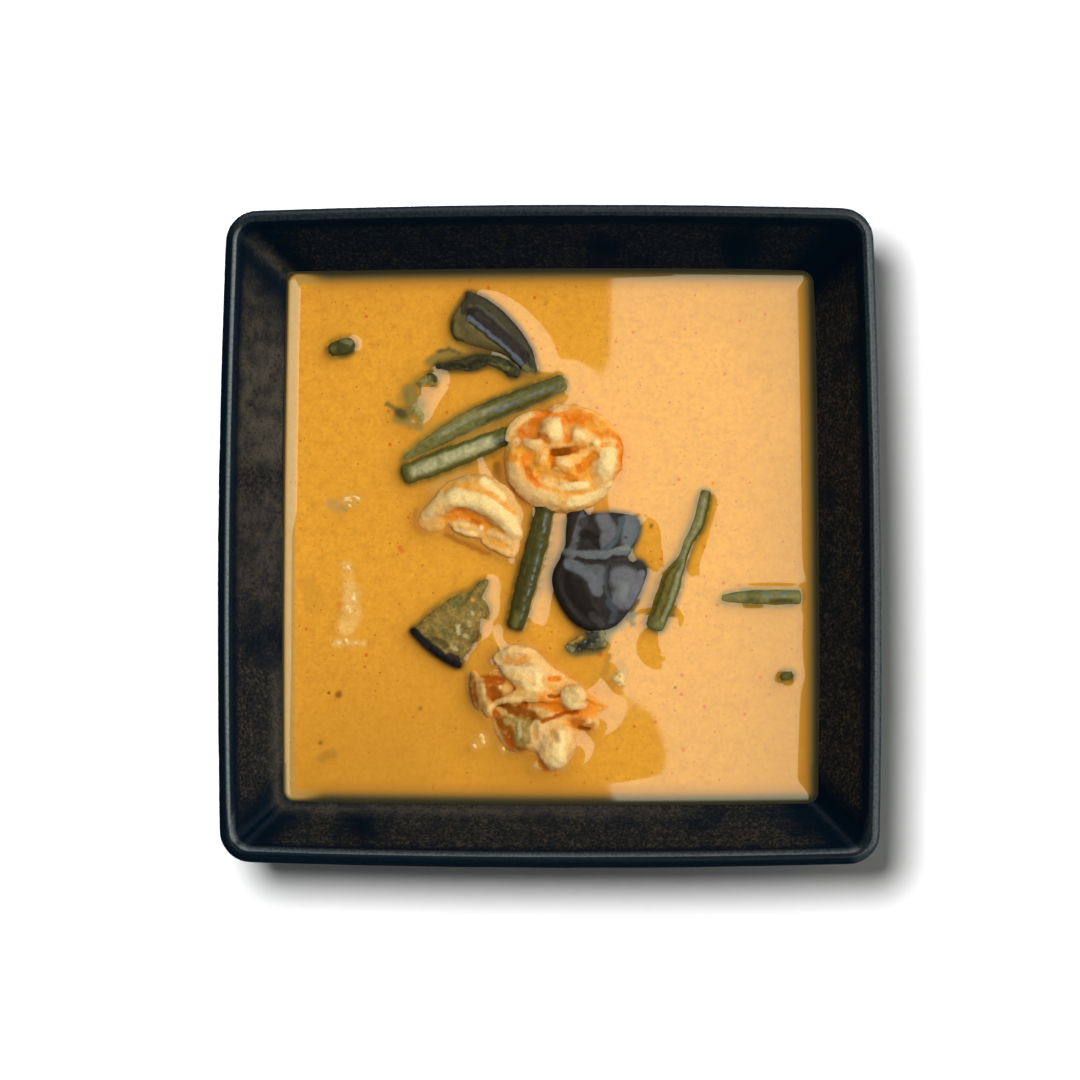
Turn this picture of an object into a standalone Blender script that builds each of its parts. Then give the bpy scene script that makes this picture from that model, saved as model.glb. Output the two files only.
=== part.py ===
"""Red shrimp curry in a square stoneware bowl.

Metres, +Z up.  The origin is the centre of the bowl's foot, on the surface it stands on.
+X and +Y are the right and the top of the photograph.  Places and sizes below are in
millimetres; the heights of the food are measured from the level of the curry.
"""

import math

import bmesh
import bpy
from mathutils import Matrix, Vector

MM = 0.001

# ---- driving dimensions (mm) -------------------------------------------------------------
RIM_HALF = 101.0            # half the bowl's width, at the middle of a side
BOWL_HEIGHT = 52.0
RIM_RADIUS = 2.2            # the rim is a round bead
CURRY_LEVEL = 34.5          # height of the curry's surface
CURRY_HALF = 82.2           # half-width of the inner wall at that level
WALL_SLOPE = 1.07           # rise over run of the inner wall
FLOOR_LEVEL = 8.0
FOOT_HALF = 62.0
FOOT_WIDTH = 7.0
FOOT_HEIGHT = 4.0
FOOT_RECESS = 2.5
SIDE_BOW = 1.4              # how far the rim's sides bow outwards
PLAN_TAPER = 0.008          # the hand-made bowl is a little narrower at its +Y side
GAP = 0.3                   # clearance between neighbouring solids
POCKET_GAP = 0.6            # how far the curry stays off a food piece ...
POCKET_DETAIL = 0.45        # ... with this share of the piece's faces

SIDE_STEPS = 7
CORNER_STEPS = 4

PARTS = "red_shrimp_curry"
CUTTERS = "cutters"


# ---- scene, collections, materials ---------------------------------------------------------
def clear_scene():
    for item in list(bpy.data.objects):
        bpy.data.objects.remove(item, do_unlink=True)


def collection(name):
    made = bpy.data.collections.new(name)
    bpy.context.scene.collection.children.link(made)
    return made


def material(name, colour, roughness):
    made = bpy.data.materials.new(name)
    made.use_nodes = True
    shader = made.node_tree.nodes["Principled BSDF"]
    shader.inputs["Base Color"].default_value = (*colour, 1.0)
    shader.inputs["Roughness"].default_value = roughness
    shader.inputs["Metallic"].default_value = 0.0
    made.diffuse_color = (*colour, 1.0)
    return made


def add_object(name, mesh, group, finish=None):
    made = bpy.data.objects.new(name, mesh)
    if finish is not None:
        mesh.materials.clear()
        mesh.materials.append(finish)
    group.objects.link(made)
    return made


def mesh_from(name, build):
    """A mesh filled in by build(bm)."""
    bm = bmesh.new()
    build(bm)
    mesh = bpy.data.meshes.new(name)
    bm.to_mesh(mesh)
    bm.free()
    return mesh


def baked(item, name):
    """The evaluated mesh of an object, with its modifiers applied, as new mesh data."""
    graph = bpy.context.evaluated_depsgraph_get()
    graph.update()
    mesh = bpy.data.meshes.new_from_object(item.evaluated_get(graph))
    mesh.name = name
    mesh.transform(item.matrix_world)
    return mesh


def keep_largest_body(mesh):
    """Drops loose scraps, so that the mesh is one closed body."""
    bm = bmesh.new()
    bm.from_mesh(mesh)
    bmesh.ops.remove_doubles(bm, verts=bm.verts, dist=1e-6)
    bmesh.ops.triangulate(bm, faces=bm.faces)
    waiting = set(bm.faces)
    bodies = []
    while waiting:
        body = []
        front = [waiting.pop()]
        while front:
            face = front.pop()
            body.append(face)
            for edge in face.edges:
                for other in edge.link_faces:
                    if other in waiting:
                        waiting.discard(other)
                        front.append(other)
        bodies.append(body)
    bodies.sort(key=len)
    scraps = [face for body in bodies[:-1] for face in body]
    if scraps:
        bmesh.ops.delete(bm, geom=scraps, context="FACES")
        loose = [vert for vert in bm.verts if not vert.link_faces]
        bmesh.ops.delete(bm, geom=loose, context="VERTS")
    bm.to_mesh(mesh)
    bm.free()
    return mesh


# ---- the bowl and the curry: square rings in plan --------------------------------------------
def inner_half(height):
    """Half-width of the bowl's inner wall at a height."""
    return CURRY_HALF + (height - CURRY_LEVEL) / WALL_SLOPE


def square_ring(half, height, corner, bow):
    """Points of a rounded square whose sides bow outwards, anticlockwise from +X."""
    points = []
    straight = half - bow - corner
    for side in range(4):
        turn = Matrix.Rotation(side * math.pi / 2, 3, "Z")
        for step in range(SIDE_STEPS):
            along = -straight + 2 * straight * step / SIDE_STEPS
            out = half - bow * (along / straight) ** 2
            points.append(turn @ Vector((out, along, height)))
        for step in range(CORNER_STEPS):
            angle = math.pi / 2 * step / CORNER_STEPS
            centre = Vector((straight, straight, height))
            swing = Vector((math.cos(angle), math.sin(angle), 0)) * corner
            points.append(turn @ (centre + swing))
    taper = PLAN_TAPER / RIM_HALF
    return [Vector((p.x * (1 - taper * p.y), p.y, p.z)) * MM for p in points]


def loft(bm, rings, first_height, last_height):
    """Joins square rings into one closed skin, with a fan over each end."""
    loops = [[bm.verts.new(point) for point in square_ring(*ring)] for ring in rings]
    for lower, upper in zip(loops, loops[1:]):
        count = len(lower)
        for index in range(count):
            follower = (index + 1) % count
            bm.faces.new((lower[index], lower[follower], upper[follower], upper[index]))
    for loop, height in ((loops[0], first_height), (loops[-1], last_height)):
        centre = bm.verts.new((0, 0, height * MM))
        for index, vert in enumerate(loop):
            bm.faces.new((vert, loop[(index + 1) % len(loop)], centre))
    bmesh.ops.recalc_face_normals(bm, faces=bm.faces)


def wall_rings(shrink, top):
    """Rings from the floor up the inner wall, moved inwards by shrink."""
    floor = FLOOR_LEVEL + shrink
    bend = ((30.0, floor, 8.0, 0.2), (53.0, floor + 0.3, 7.0, 0.3),
            (58.0 - shrink, floor + 2.0, 6.0, 0.3), (inner_half(13.5) - shrink, 13.5, 5.0, 0.4))
    heights = (20.0, 27.0, top)
    wall = tuple((inner_half(h) - shrink, h, 3.2 + 0.03 * (h - 20), 0.5 + 0.015 * (h - 20))
                 for h in heights)
    return bend + wall


def rim_rings():
    """The round bead of the rim, from its inner side over the top to its outer side."""
    middle = BOWL_HEIGHT - RIM_RADIUS
    rings = []
    for degrees in (190, 150, 120, 90, 60, 30, 0, -25):
        angle = math.radians(degrees)
        half = RIM_HALF - RIM_RADIUS + RIM_RADIUS * math.cos(angle)
        height = middle + RIM_RADIUS * math.sin(angle)
        corner = 7.5 + RIM_RADIUS * math.cos(angle)
        rings.append((half, height, corner, SIDE_BOW))
    return rings


def build_bowl(group):
    outer = ((92.5, 38.0, 10.5, 1.1), (78.5, 20.0, 11.0, 0.7), (68.5, 7.5, 11.5, 0.4),
             (FOOT_HALF + 1.5, FOOT_HEIGHT, 11.0, 0.3), (FOOT_HALF, 1.0, 10.5, 0.3),
             (FOOT_HALF - 1.0, 0.0, 10.0, 0.3), (FOOT_HALF - FOOT_WIDTH, 0.0, 8.0, 0.3),
             (FOOT_HALF - FOOT_WIDTH - 1.5, FOOT_RECESS, 7.0, 0.3))
    rings = [*wall_rings(0.0, CURRY_LEVEL), (inner_half(44.0), 44.0, 4.2, 1.0), *rim_rings(), *outer]
    mesh = mesh_from("bowl", lambda bm: loft(bm, rings, FLOOR_LEVEL, FOOT_RECESS))
    return add_object("bowl", mesh, group, material("navy_glaze", (0.012, 0.016, 0.022), 0.2))


def build_curry(group, cutters):
    """Curry up to its level, cut round every piece."""
    rings = [*wall_rings(GAP * 1.5, CURRY_LEVEL)]
    mesh = mesh_from("curry", lambda bm: loft(bm, rings, FLOOR_LEVEL + GAP * 1.5, CURRY_LEVEL))
    block = add_object("curry_block", mesh, group)
    for cutter in cutters:
        subtract(block, cutter, "MANIFOLD")
    mesh = keep_largest_body(baked(block, "curry"))
    bpy.data.objects.remove(block, do_unlink=True)
    return add_object("curry", mesh, group, material("curry", (0.78, 0.35, 0.045), 0.25))


# ---- forms that the food is fused from --------------------------------------------------------
def place(point):
    """A point given in mm, its height from the curry's surface, in metres."""
    x, y, z = point
    return Vector((x, y, CURRY_LEVEL + z)) * MM


def lump(centre, radii, turn=0.0):
    """An ellipsoid, turned about +Z in degrees."""
    def build(bm):
        swing = Matrix.Rotation(math.radians(turn), 4, "Z")
        size = Matrix.Diagonal((*[r * MM for r in radii], 1.0))
        bmesh.ops.create_uvsphere(bm, u_segments=16, v_segments=10, radius=1.0,
                                  matrix=Matrix.Translation(place(centre)) @ swing @ size)
    return build


def strand(points, radii, flat=1.0):
    """A round strand through points, a radius at each, with domed ends; flat squashes its height."""
    def build(bm):
        middle = Vector((0, 0, 0))
        for point in points:
            middle += place(point) / len(points)
        squash = (Matrix.Translation(middle) @ Matrix.Diagonal((1, 1, flat, 1))
                  @ Matrix.Translation(-middle))
        steps = smooth_path([place(p) for p in points], [r * MM for r in radii])
        for start, end in zip(steps, steps[1:]):
            link(bm, start, end, squash)
    return build


def smooth_path(points, radii, per_span=4):
    """Catmull-Rom points and radii through the given ones."""
    ends = [points[0] * 2 - points[1], *points, points[-1] * 2 - points[-2]]
    sizes = [radii[0], *radii, radii[-1]]
    path = []
    for span in range(len(points) - 1):
        a, b, c, d = ends[span:span + 4]
        e, f, g, h = sizes[span:span + 4]
        for step in range(per_span):
            t = step / per_span
            path.append((spline(a, b, c, d, t), spline(e, f, g, h, t)))
    path.append((points[-1], radii[-1]))
    return path


def spline(a, b, c, d, t):
    return (b * 2 + (c - a) * t + (a * 2 - b * 5 + c * 4 - d) * t * t
            + (b * 3 - a - c * 3 + d) * t * t * t) * 0.5


def link(bm, start, end, squash):
    """A cone between two (point, radius) steps and a ball on each, which fuse into a strand."""
    (near, near_radius), (far, far_radius) = start, end
    along = far - near
    turn = along.to_track_quat("Z", "Y").to_matrix().to_4x4()
    for centre, radius in (start, end):
        bmesh.ops.create_uvsphere(bm, u_segments=12, v_segments=8, radius=radius,
                                  matrix=squash @ Matrix.Translation(centre))
    bmesh.ops.create_cone(bm, segments=12, radius1=near_radius, radius2=far_radius, cap_ends=True,
                          depth=along.length,
                          matrix=squash @ Matrix.Translation((near + far) / 2) @ turn)


def block(points):
    """The convex body over a few corner points."""
    def build(bm):
        verts = [bm.verts.new(place(point)) for point in points]
        hull = bmesh.ops.convex_hull(bm, input=verts)
        spare = [item for item in hull["geom_interior"] if isinstance(item, bmesh.types.BMVert)]
        bmesh.ops.delete(bm, geom=spare, context="VERTS")
    return build


def fuse_overlaps(item, grain):
    remesh = item.modifiers.new("fuse", "REMESH")
    remesh.mode = "VOXEL"
    remesh.voxel_size = grain * MM


def fuse(name, forms, group, finish, grain, faces, soften=3, hollows=()):
    """One closed solid from forms: fused on a grid of grain mm, softened, and thinned to faces."""
    def build(bm):
        for form in forms:
            form(bm)
    raw = add_object(name + "_raw", mesh_from(name + "_raw", build), group)
    fuse_overlaps(raw, grain)
    for hollow in hollows:
        cutter = add_object(name + "_hollow", mesh_from(name + "_hollow", hollow), group)
        fuse_overlaps(cutter, grain)
        subtract(raw, cutter)
    smooth = raw.modifiers.new("soften", "SMOOTH")
    smooth.factor = 0.5
    smooth.iterations = soften
    mesh = keep_largest_body(baked(raw, name))
    for item in [item for item in group.objects if item.name.startswith(name + "_")]:
        bpy.data.objects.remove(item, do_unlink=True)
    made = add_object(name, mesh, group, finish)
    thin = made.modifiers.new("thin", "DECIMATE")
    thin.ratio = min(1.0, faces / len(mesh.polygons))
    thin.use_collapse_triangulate = True
    mesh = keep_largest_body(baked(made, name))
    made.modifiers.clear()
    made.data = mesh
    mesh.shade_smooth()
    return made


# ---- cutting with clearance -------------------------------------------------------------------
def subtract(target, cutter, solver="EXACT"):
    cut = target.modifiers.new("cut_" + cutter.name, "BOOLEAN")
    cut.operation = "DIFFERENCE"
    cut.solver = solver
    cut.object = cutter


def grown(item, group, clearance=GAP * 1.3, detail=1.0):
    """A cutter: a copy of the piece, thinned to a share of its faces and grown by the clearance."""
    mesh = baked(item, item.name + "_cutter")
    made = add_object(item.name + "_cutter", mesh, group)
    made.hide_render = True
    made.display_type = "WIRE"
    if detail < 1.0:
        thin = made.modifiers.new("thin", "DECIMATE")
        thin.ratio = detail
    grow = made.modifiers.new("grow", "DISPLACE")
    grow.mid_level = 0.0
    grow.strength = clearance * MM
    return made


def make_room(item, cutters):
    """Cuts a piece clear of the pieces that it leans on."""
    for cutter in cutters:
        subtract(item, cutter)
    mesh = keep_largest_body(baked(item, item.name))
    item.modifiers.clear()
    item.data = mesh
    mesh.shade_smooth()


# ---- vegetables ------------------------------------------------------------------------------
BEANS = {
    # name: (points along the bean, radius at each)
    "green_bean_1": (((-44.6, 24.8, -1.0), (-33.6, 31.2, -0.6), (-21.8, 37.4, -0.4),
                      (-8.9, 42.6, -0.4), (3.4, 47.6, -0.6)), (1.4, 2.7, 3.3, 3.2, 2.8)),
    "green_bean_2": (((-43.8, 19.6, -0.9), (-35.8, 22.6, -0.5), (-25.8, 26.4, -0.4),
                      (-16.4, 30.2, -0.9), (-10.4, 32.6, -2.2)), (3.4, 3.8, 3.7, 3.4, 2.8)),
    "green_bean_3": (((-1.2, 8.6, -0.8), (-3.8, -2.8, -0.3), (-5.6, -9.7, -0.2),
                      (-7.6, -17.4, -0.3), (-10.3, -27.0, -0.9)), (3.5, 3.9, 3.8, 3.7, 3.3)),
    "green_bean_4": (((48.4, 13.4, -0.9), (46.6, 4.0, -0.7), (43.5, -1.6, -0.6),
                      (41.6, -6.8, -0.6), (39.0, -11.8, -0.7), (36.9, -17.4, -0.7),
                      (33.4, -27.6, -1.0)), (2.0, 2.0, 1.6, 1.7, 2.9, 3.5, 2.8)),
    "green_bean_5": (((54.3, -19.2, -1.0), (61.0, -18.9, -0.8), (69.5, -18.9, -0.7),
                      (76.6, -18.9, -0.8)), (1.5, 2.3, 2.6, 2.5)),
    "green_bean_end": (((-67.2, 58.6, -1.2), (-63.2, 59.6, -0.9)), (2.7, 3.1)),
    "green_bit": (((72.6, -43.4, -1.1), (74.4, -43.1, -1.0)), (2.1, 2.0)),
}
BEAN_FACES = {"green_bean_end": 110, "green_bit": 90, "green_bean_5": 190}


def build_beans(group):
    finish = material("green_bean", (0.045, 0.05, 0.012), 0.35)
    return {name: fuse(name, [strand(points, radii)], group, finish, 0.7,
                       BEAN_FACES.get(name, 270), soften=4)
            for name, (points, radii) in BEANS.items()}


def build_folded_eggplant(group):
    """A piece of skin-on eggplant folded over: an upper flap, a rolled ridge and a lower flap."""
    upper_flap = block(((11.0, 6.6, 0.6), (14.6, 8.0, 1.4), (25.2, 6.9, 1.6), (28.3, 4.6, 0.6),
                        (24.4, -2.6, 2.2), (8.0, -3.0, 2.0), (7.4, -1.0, -2.5), (26.0, 3.5, -3.0),
                        (16.0, 2.0, 3.6), (12.0, 5.5, -4.0), (20.0, 0.5, 4.2)))
    ridge = strand(((4.6, -6.2, 0.6), (9.5, -5.4, 2.6), (16.5, -5.2, 3.4), (24.0, -4.2, 1.2)),
                   (1.6, 2.4, 2.6, 1.8))
    lower_left = block(((4.2, -6.8, 0.2), (0.6, -13.4, -0.4), (1.6, -17.6, -0.6), (6.6, -26.6, -0.6),
                        (10.6, -29.2, -0.4), (16.8, -28.6, 0.0), (15.4, -9.6, 4.6), (15.8, -18.0, 4.4),
                        (8.6, -16.0, 3.8), (6.0, -10.0, -5.0), (12.0, -25.0, -5.5)))
    lower_right = block(((15.2, -7.0, 3.8), (24.0, -6.4, 1.6), (30.2, -8.8, 0.4), (28.6, -15.4, 0.2), (25.8, -20.6, 0.0),
                         (21.0, -27.2, 0.2), (15.4, -28.6, 0.0), (20.6, -11.6, 4.4),
                         (15.4, -18.4, 3.4), (22.0, -20.0, 3.2), (24.0, -12.0, -5.0),
                         (17.0, -24.0, -5.5)))
    finish = material("eggplant_skin", (0.014, 0.011, 0.011), 0.2)
    return fuse("folded_eggplant", [upper_flap, ridge, lower_left, lower_right], group, finish,
                0.9, 760, soften=2)


def build_eggplant_piece(group):
    """A wedge of eggplant: skin over its right side, a ridge, and a cut face at its lower left."""
    skin_side = block(((-26.2, 76.6, -0.6), (-21.6, 74.4, -0.4), (-13.8, 68.2, -0.4),
                       (-8.0, 61.6, -0.4), (-4.6, 55.8, -0.4), (-3.6, 50.8, -0.6), (-6.2, 48.8, -0.6),
                       (-9.4, 54.0, 2.8), (-24.8, 68.4, 4.2), (-15.6, 60.4, 4.6),
                       (-20.0, 70.6, 3.4), (-10.6, 62.2, 3.2), (-22.0, 70.0, -4.5),
                       (-8.0, 54.0, -4.5)))
    cut_face = block(((-25.4, 75.0, 0.0), (-30.6, 66.4, 0.2), (-30.6, 62.4, 0.0), (-27.8, 60.0, 0.0),
                      (-17.4, 57.6, 0.2), (-10.6, 55.4, 0.6), (-24.8, 68.0, 4.0),
                      (-15.6, 60.6, 4.2), (-24.0, 64.0, -4.0), (-14.0, 58.5, -4.0)))
    finish = material("eggplant_piece", (0.035, 0.026, 0.012), 0.3)
    return fuse("eggplant_piece", [skin_side, cut_face], group, finish, 0.9, 460, soften=2)


def build_eggplant_wedge(group):
    """A wedge lying cut face up, its skin along the lower left edge, its far side sunk."""
    flesh = block(((-42.6, -28.6, 1.4), (-27.8, -39.6, 1.8), (-21.2, -30.6, 1.6), (-20.8, -19.0, 1.2),
                   (-25.6, -15.8, 0.4), (-31.8, -18.8, -0.2), (-38.0, -23.6, 0.0),
                   (-30.0, -29.0, 2.6), (-36.0, -32.6, -6.0), (-24.0, -24.0, -5.0),
                   (-28.6, -38.0, -6.0), (-33.0, -21.0, -4.5)))
    corner = block(((-24.6, -16.2, 0.4), (-19.0, -13.0, 0.9), (-19.0, -16.8, 0.8), (-22.4, -18.2, 1.0),
                    (-22.6, -12.6, 0.4), (-21.0, -15.0, -2.4)))
    skin = strand(((-42.8, -29.2, 0.4), (-35.6, -35.2, 0.8), (-28.2, -40.0, 0.6)), (1.0, 1.5, 1.3))
    finish = material("eggplant_flesh", (0.22, 0.15, 0.045), 0.4)
    return fuse("eggplant_wedge", [flesh, corner, skin], group, finish, 0.9, 420, soften=2)


# ---- leaves ----------------------------------------------------------------------------------
def leaf(name, spine, half_widths, lean, group, finish, thickness=0.9, ripple=0.35):
    """A thin wavy solid: cross-rows along a spine, leaning over by lean degrees at each row."""
    path = smooth_path([place(point) for point in spine], [w * MM for w in half_widths])
    leans = smooth_path([Vector((value, 0, 0)) for value in lean], [0.0] * len(lean))
    columns = (-1.0, -0.33, 0.33, 1.0)

    def build(bm):
        rows = []
        for index, (centre, half) in enumerate(path):
            before = path[max(index - 1, 0)][0]
            after = path[min(index + 1, len(path) - 1)][0]
            along = (after - before).normalized()
            flat = along.cross(Vector((0, 0, 1))).normalized()
            across = Matrix.Rotation(math.radians(leans[index][0].x), 3, along) @ flat
            wave = Vector((0, 0, ripple * MM * math.sin(index * 1.9)))
            rows.append([bm.verts.new(centre + across * half * column + wave * abs(column))
                         for column in columns])
        for near, far in zip(rows, rows[1:]):
            for k in range(len(columns) - 1):
                bm.faces.new((near[k], near[k + 1], far[k + 1], far[k]))
        bmesh.ops.triangulate(bm, faces=bm.faces)
        bmesh.ops.recalc_face_normals(bm, faces=bm.faces)

    made = add_object(name, mesh_from(name, build), group, finish)
    shell = made.modifiers.new("thickness", "SOLIDIFY")
    shell.thickness = thickness * MM
    shell.offset = 0.0
    mesh = baked(made, name)
    made.modifiers.clear()
    made.data = mesh
    mesh.shade_smooth()
    return made


def build_leaves(group):
    finish = material("thai_basil", (0.018, 0.022, 0.010), 0.35)
    strip = leaf("basil_strip", ((-35.4, 53.0, 0.4), (-29.5, 53.1, 0.6), (-24.0, 53.2, 0.7),
                                 (-19.0, 54.9, 0.9), (-13.6, 53.4, 0.8), (-9.2, 51.0, 0.5)),
                 (0.7, 1.4, 1.6, 1.9, 1.9, 1.2), (20, 30, 25, 35, 30, 20), group, finish)
    scrap = leaf("basil_scrap", ((5.2, -34.6, 0.2), (9.2, -32.9, 0.7), (13.4, -32.4, 0.9),
                                 (17.6, -33.4, 0.2)), (0.9, 2.0, 2.7, 1.2), (8, -10, 12, -8),
                 group, finish)
    return {item.name: item for item in (strip, scrap)}


def build_greens(group):
    """The pale, mostly sunk pieces left of the beans, and the small lump below the eggplant."""
    pale = material("pale_greens", (0.30, 0.21, 0.075), 0.35)
    stem = fuse("stem_ring", [strand(((-40.0, 47.6, -0.6), (-37.0, 48.8, -0.2)), (2.2, 2.6))],
                group, pale, 0.6, 120)
    piece = fuse("pale_vegetable",
                 [lump((-41.6, 40.6, -1.4), (3.6, 5.2, 2.6), -25), lump((-45.9, 38.8, -1.3), (2.8, 2.6, 2.2)),
                  lump((-39.9, 37.2, -1.2), (1.9, 3.0, 2.0), -20), lump((-44.0, 43.6, -2.2), (2.6, 3.6, 2.4))],
                 group, pale, 0.7, 260)
    small = fuse("pale_lump", [lump((21.2, -43.6, -1.2), (3.0, 2.6, 2.3), 30),
                               lump((22.8, -46.0, -1.4), (1.8, 1.6, 1.9))], group, pale, 0.6, 130)
    return {item.name: item for item in (stem, piece, small)}


# ---- shrimps ---------------------------------------------------------------------------------
def arc(centre, radii, start, end, height, count):
    """Points along an elliptical arc, from start to end degrees."""
    points = []
    for index in range(count):
        angle = math.radians(start + (end - start) * index / (count - 1))
        points.append((centre[0] + radii[0] * math.cos(angle),
                       centre[1] + radii[1] * math.sin(angle), height))
    return points


def build_curled_shrimp(group, finish):
    """A tightly curled shrimp on its side: the round back, and the frilled flesh inside the curl."""
    centre = (4.6, 24.4)
    back = strand(arc(centre, (14.0, 12.4), 150, 345, 0.2, 8),
                  (4.2, 4.9, 5.3, 5.4, 5.2, 4.9, 4.2, 3.4), 1.0)
    orange_edge = strand(arc(centre, (15.6, 13.6), -10, 118, 1.4, 6), (3.0, 3.4, 3.6, 3.5, 3.2, 2.6), 0.9)
    filling = lump((4.8, 25.0, 0.2), (14.0, 12.6, 5.2))
    frill = strand(((-11.8, 32.0, 3.0), (-8.2, 35.4, 3.4), (-4.0, 37.6, 3.4)), (1.7, 2.0, 1.6))
    lumps = [lump((0.7, 32.4, 4.4), (4.2, 5.0, 3.6), -15), lump((9.4, 31.0, 4.4), (3.7, 3.2, 3.0)),
             lump((14.6, 28.6, 3.6), (2.2, 2.2, 2.4)), lump((-4.7, 28.4, 4.0), (2.9, 2.4, 2.8)),
             lump((4.2, 22.2, 4.6), (4.2, 2.7, 2.8)), lump((17.6, 22.6, 3.2), (4.3, 5.2, 4.0), -15),
             lump((-2.2, 23.6, 4.2), (2.0, 2.4, 2.6)), lump((8.4, 15.6, 3.6), (5.6, 2.2, 2.6), 8),
             lump((16.6, 17.2, 2.4), (3.4, 2.8, 3.2))]
    slit = strand(((1.0, 26.0, 4.6), (6.5, 26.4, 4.2), (12.0, 28.0, 5.4)), (1.3, 1.6, 1.0))
    return fuse("curled_shrimp", [back, orange_edge, filling, frill, *lumps], group, finish,
                0.9, 1250, soften=2, hollows=[slit])


def build_arched_shrimp(group, finish):
    """A shrimp lying on its side in an arch, its lower half in the curry."""
    back = strand(((-33.6, 13.4, 0.2), (-27.0, 16.6, 0.8), (-20.0, 16.4, 1.2), (-13.6, 12.0, 1.0),
                   (-9.8, 6.0, 0.4)), (1.8, 2.4, 2.8, 2.8, 2.2))
    belly = strand(((-38.6, 6.4, -0.2), (-34.0, 9.6, 0.8), (-27.4, 12.0, 1.6), (-20.4, 10.4, 2.2),
                    (-14.0, 5.8, 1.8), (-10.4, 0.4, 0.4)), (2.2, 3.2, 3.7, 4.1, 3.9, 2.6))
    hollow_floor = block(((-36.0, 5.0, -0.2), (-28.0, 8.0, 0.6), (-14.0, 2.0, 0.6), (-12.0, -4.0, -0.4),
                          (-20.0, -1.4, -0.2), (-30.0, 2.2, 0.0), (-26.0, 4.0, -4.0), (-16.0, 1.0, -4.0)))
    front_ridge = strand(((-31.2, 4.6, 0.2), (-27.4, 2.2, 0.7), (-23.0, 0.6, 0.5)), (1.2, 1.8, 1.4))
    side_ridge = strand(((-18.8, 1.4, 0.6), (-15.0, -0.4, 0.8), (-11.4, -3.4, 0.2)), (1.3, 1.6, 1.5))
    tip = lump((-37.6, 3.0, -0.9), (2.4, 1.5, 1.6), -10)
    return fuse("arched_shrimp", [back, belly, hollow_floor, front_ridge, side_ridge, tip], group,
                finish, 0.9, 720, soften=2)


def build_torn_shrimp(group, finish):
    """A shrimp split down its back: two lobes, an orange tail point and a knob of flesh."""
    bed = block(((-22.0, -42.6, -1.2), (-19.0, -37.8, -0.6), (-6.0, -35.6, 0.0), (8.0, -43.6, 0.4),
                 (19.0, -52.6, -0.4), (10.0, -58.6, -0.6), (-4.0, -59.0, 0.0), (-19.4, -54.0, -1.0),
                 (-8.0, -46.0, -6.0), (6.0, -52.0, -5.0)))
    upper = lump((-7.2, -42.6, 2.0), (8.6, 4.8, 3.6), -18)
    frill = strand(((-17.4, -38.6, 0.8), (-11.6, -35.4, 2.0), (-6.6, -36.0, 2.4), (-1.0, -40.4, 2.0)),
                   (1.6, 1.8, 1.9, 1.6))
    left_band = strand(((-21.4, -44.4, 0.0), (-20.4, -50.0, 0.6), (-18.6, -55.0, -0.2)), (1.9, 2.3, 1.8))
    beak = strand(((-17.8, -53.2, 1.4), (-12.6, -50.4, 2.4), (-5.6, -49.4, 2.8), (1.0, -50.2, 2.4)),
                  (0.9, 1.7, 2.3, 2.0))
    tail = block(((-2.4, -48.6, 2.0), (9.4, -48.0, 2.2), (19.2, -53.0, 0.6), (12.8, -56.8, 0.8),
                  (1.0, -54.6, 1.6), (6.0, -51.4, 3.4), (8.0, -52.0, -2.0)))
    knob = lump((7.5, -49.8, 3.4), (4.4, 4.2, 3.0))
    lower_pale = lump((2.6, -65.4, 0.8), (5.6, 7.6, 4.2), -22)
    lower_clear = lump((-7.2, -60.4, -0.2), (4.4, 7.0, 3.4), 18)
    lower_bridge = lump((-2.0, -58.4, 0.2), (6.4, 4.0, 3.2))
    toe = lump((10.4, -59.0, -1.0), (3.0, 2.4, 2.2), 20)
    foot = lump((-2.2, -71.2, -1.0), (4.2, 2.4, 2.4), -8)
    pit = lump((-15.6, -47.4, 3.2), (2.6, 3.4, 2.2), -20)
    gap = strand(((-13.4, -54.0, 2.2), (-7.6, -55.2, 2.0), (-2.6, -54.6, 2.6)), (1.3, 1.9, 1.0))
    return fuse("torn_shrimp",
                [bed, upper, frill, left_band, beak, tail, knob, lower_pale, lower_clear, lower_bridge,
                 toe, foot], group, finish, 0.9, 1250, soften=2, hollows=[pit, gap])


# ---- assembly --------------------------------------------------------------------------------
def main():
    clear_scene()
    parts = collection(PARTS)
    tools = collection(CUTTERS)
    build_bowl(parts)

    flesh = material("shrimp", (0.86, 0.52, 0.24), 0.3)
    pieces = {**build_beans(parts), **build_leaves(parts), **build_greens(parts)}
    for builder in (build_folded_eggplant, build_eggplant_piece, build_eggplant_wedge):
        piece = builder(parts)
        pieces[piece.name] = piece
    for builder in (build_curled_shrimp, build_arched_shrimp, build_torn_shrimp):
        piece = builder(parts, flesh)
        pieces[piece.name] = piece

    cutters = {}
    leaning = {
        "green_bean_2": ("green_bean_1",),
        "folded_eggplant": ("green_bean_3",),
        "basil_strip": ("eggplant_piece",),
        "basil_scrap": ("folded_eggplant",),
        "curled_shrimp": ("green_bean_1", "green_bean_2", "green_bean_3", "folded_eggplant"),
        "arched_shrimp": ("green_bean_2", "green_bean_3", "curled_shrimp"),
        "torn_shrimp": ("eggplant_wedge",),
    }
    for name, carriers in leaning.items():
        for carrier in carriers:
            if carrier not in cutters:
                cutters[carrier] = grown(pieces[carrier], tools)
        make_room(pieces[name], [cutters[carrier] for carrier in carriers])
    for cutter in list(tools.objects):
        bpy.data.objects.remove(cutter, do_unlink=True)
    pockets = [grown(piece, tools) if name.startswith("basil")
               else grown(piece, tools, POCKET_GAP, POCKET_DETAIL) for name, piece in pieces.items()]
    build_curry(parts, pockets)


main()
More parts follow.
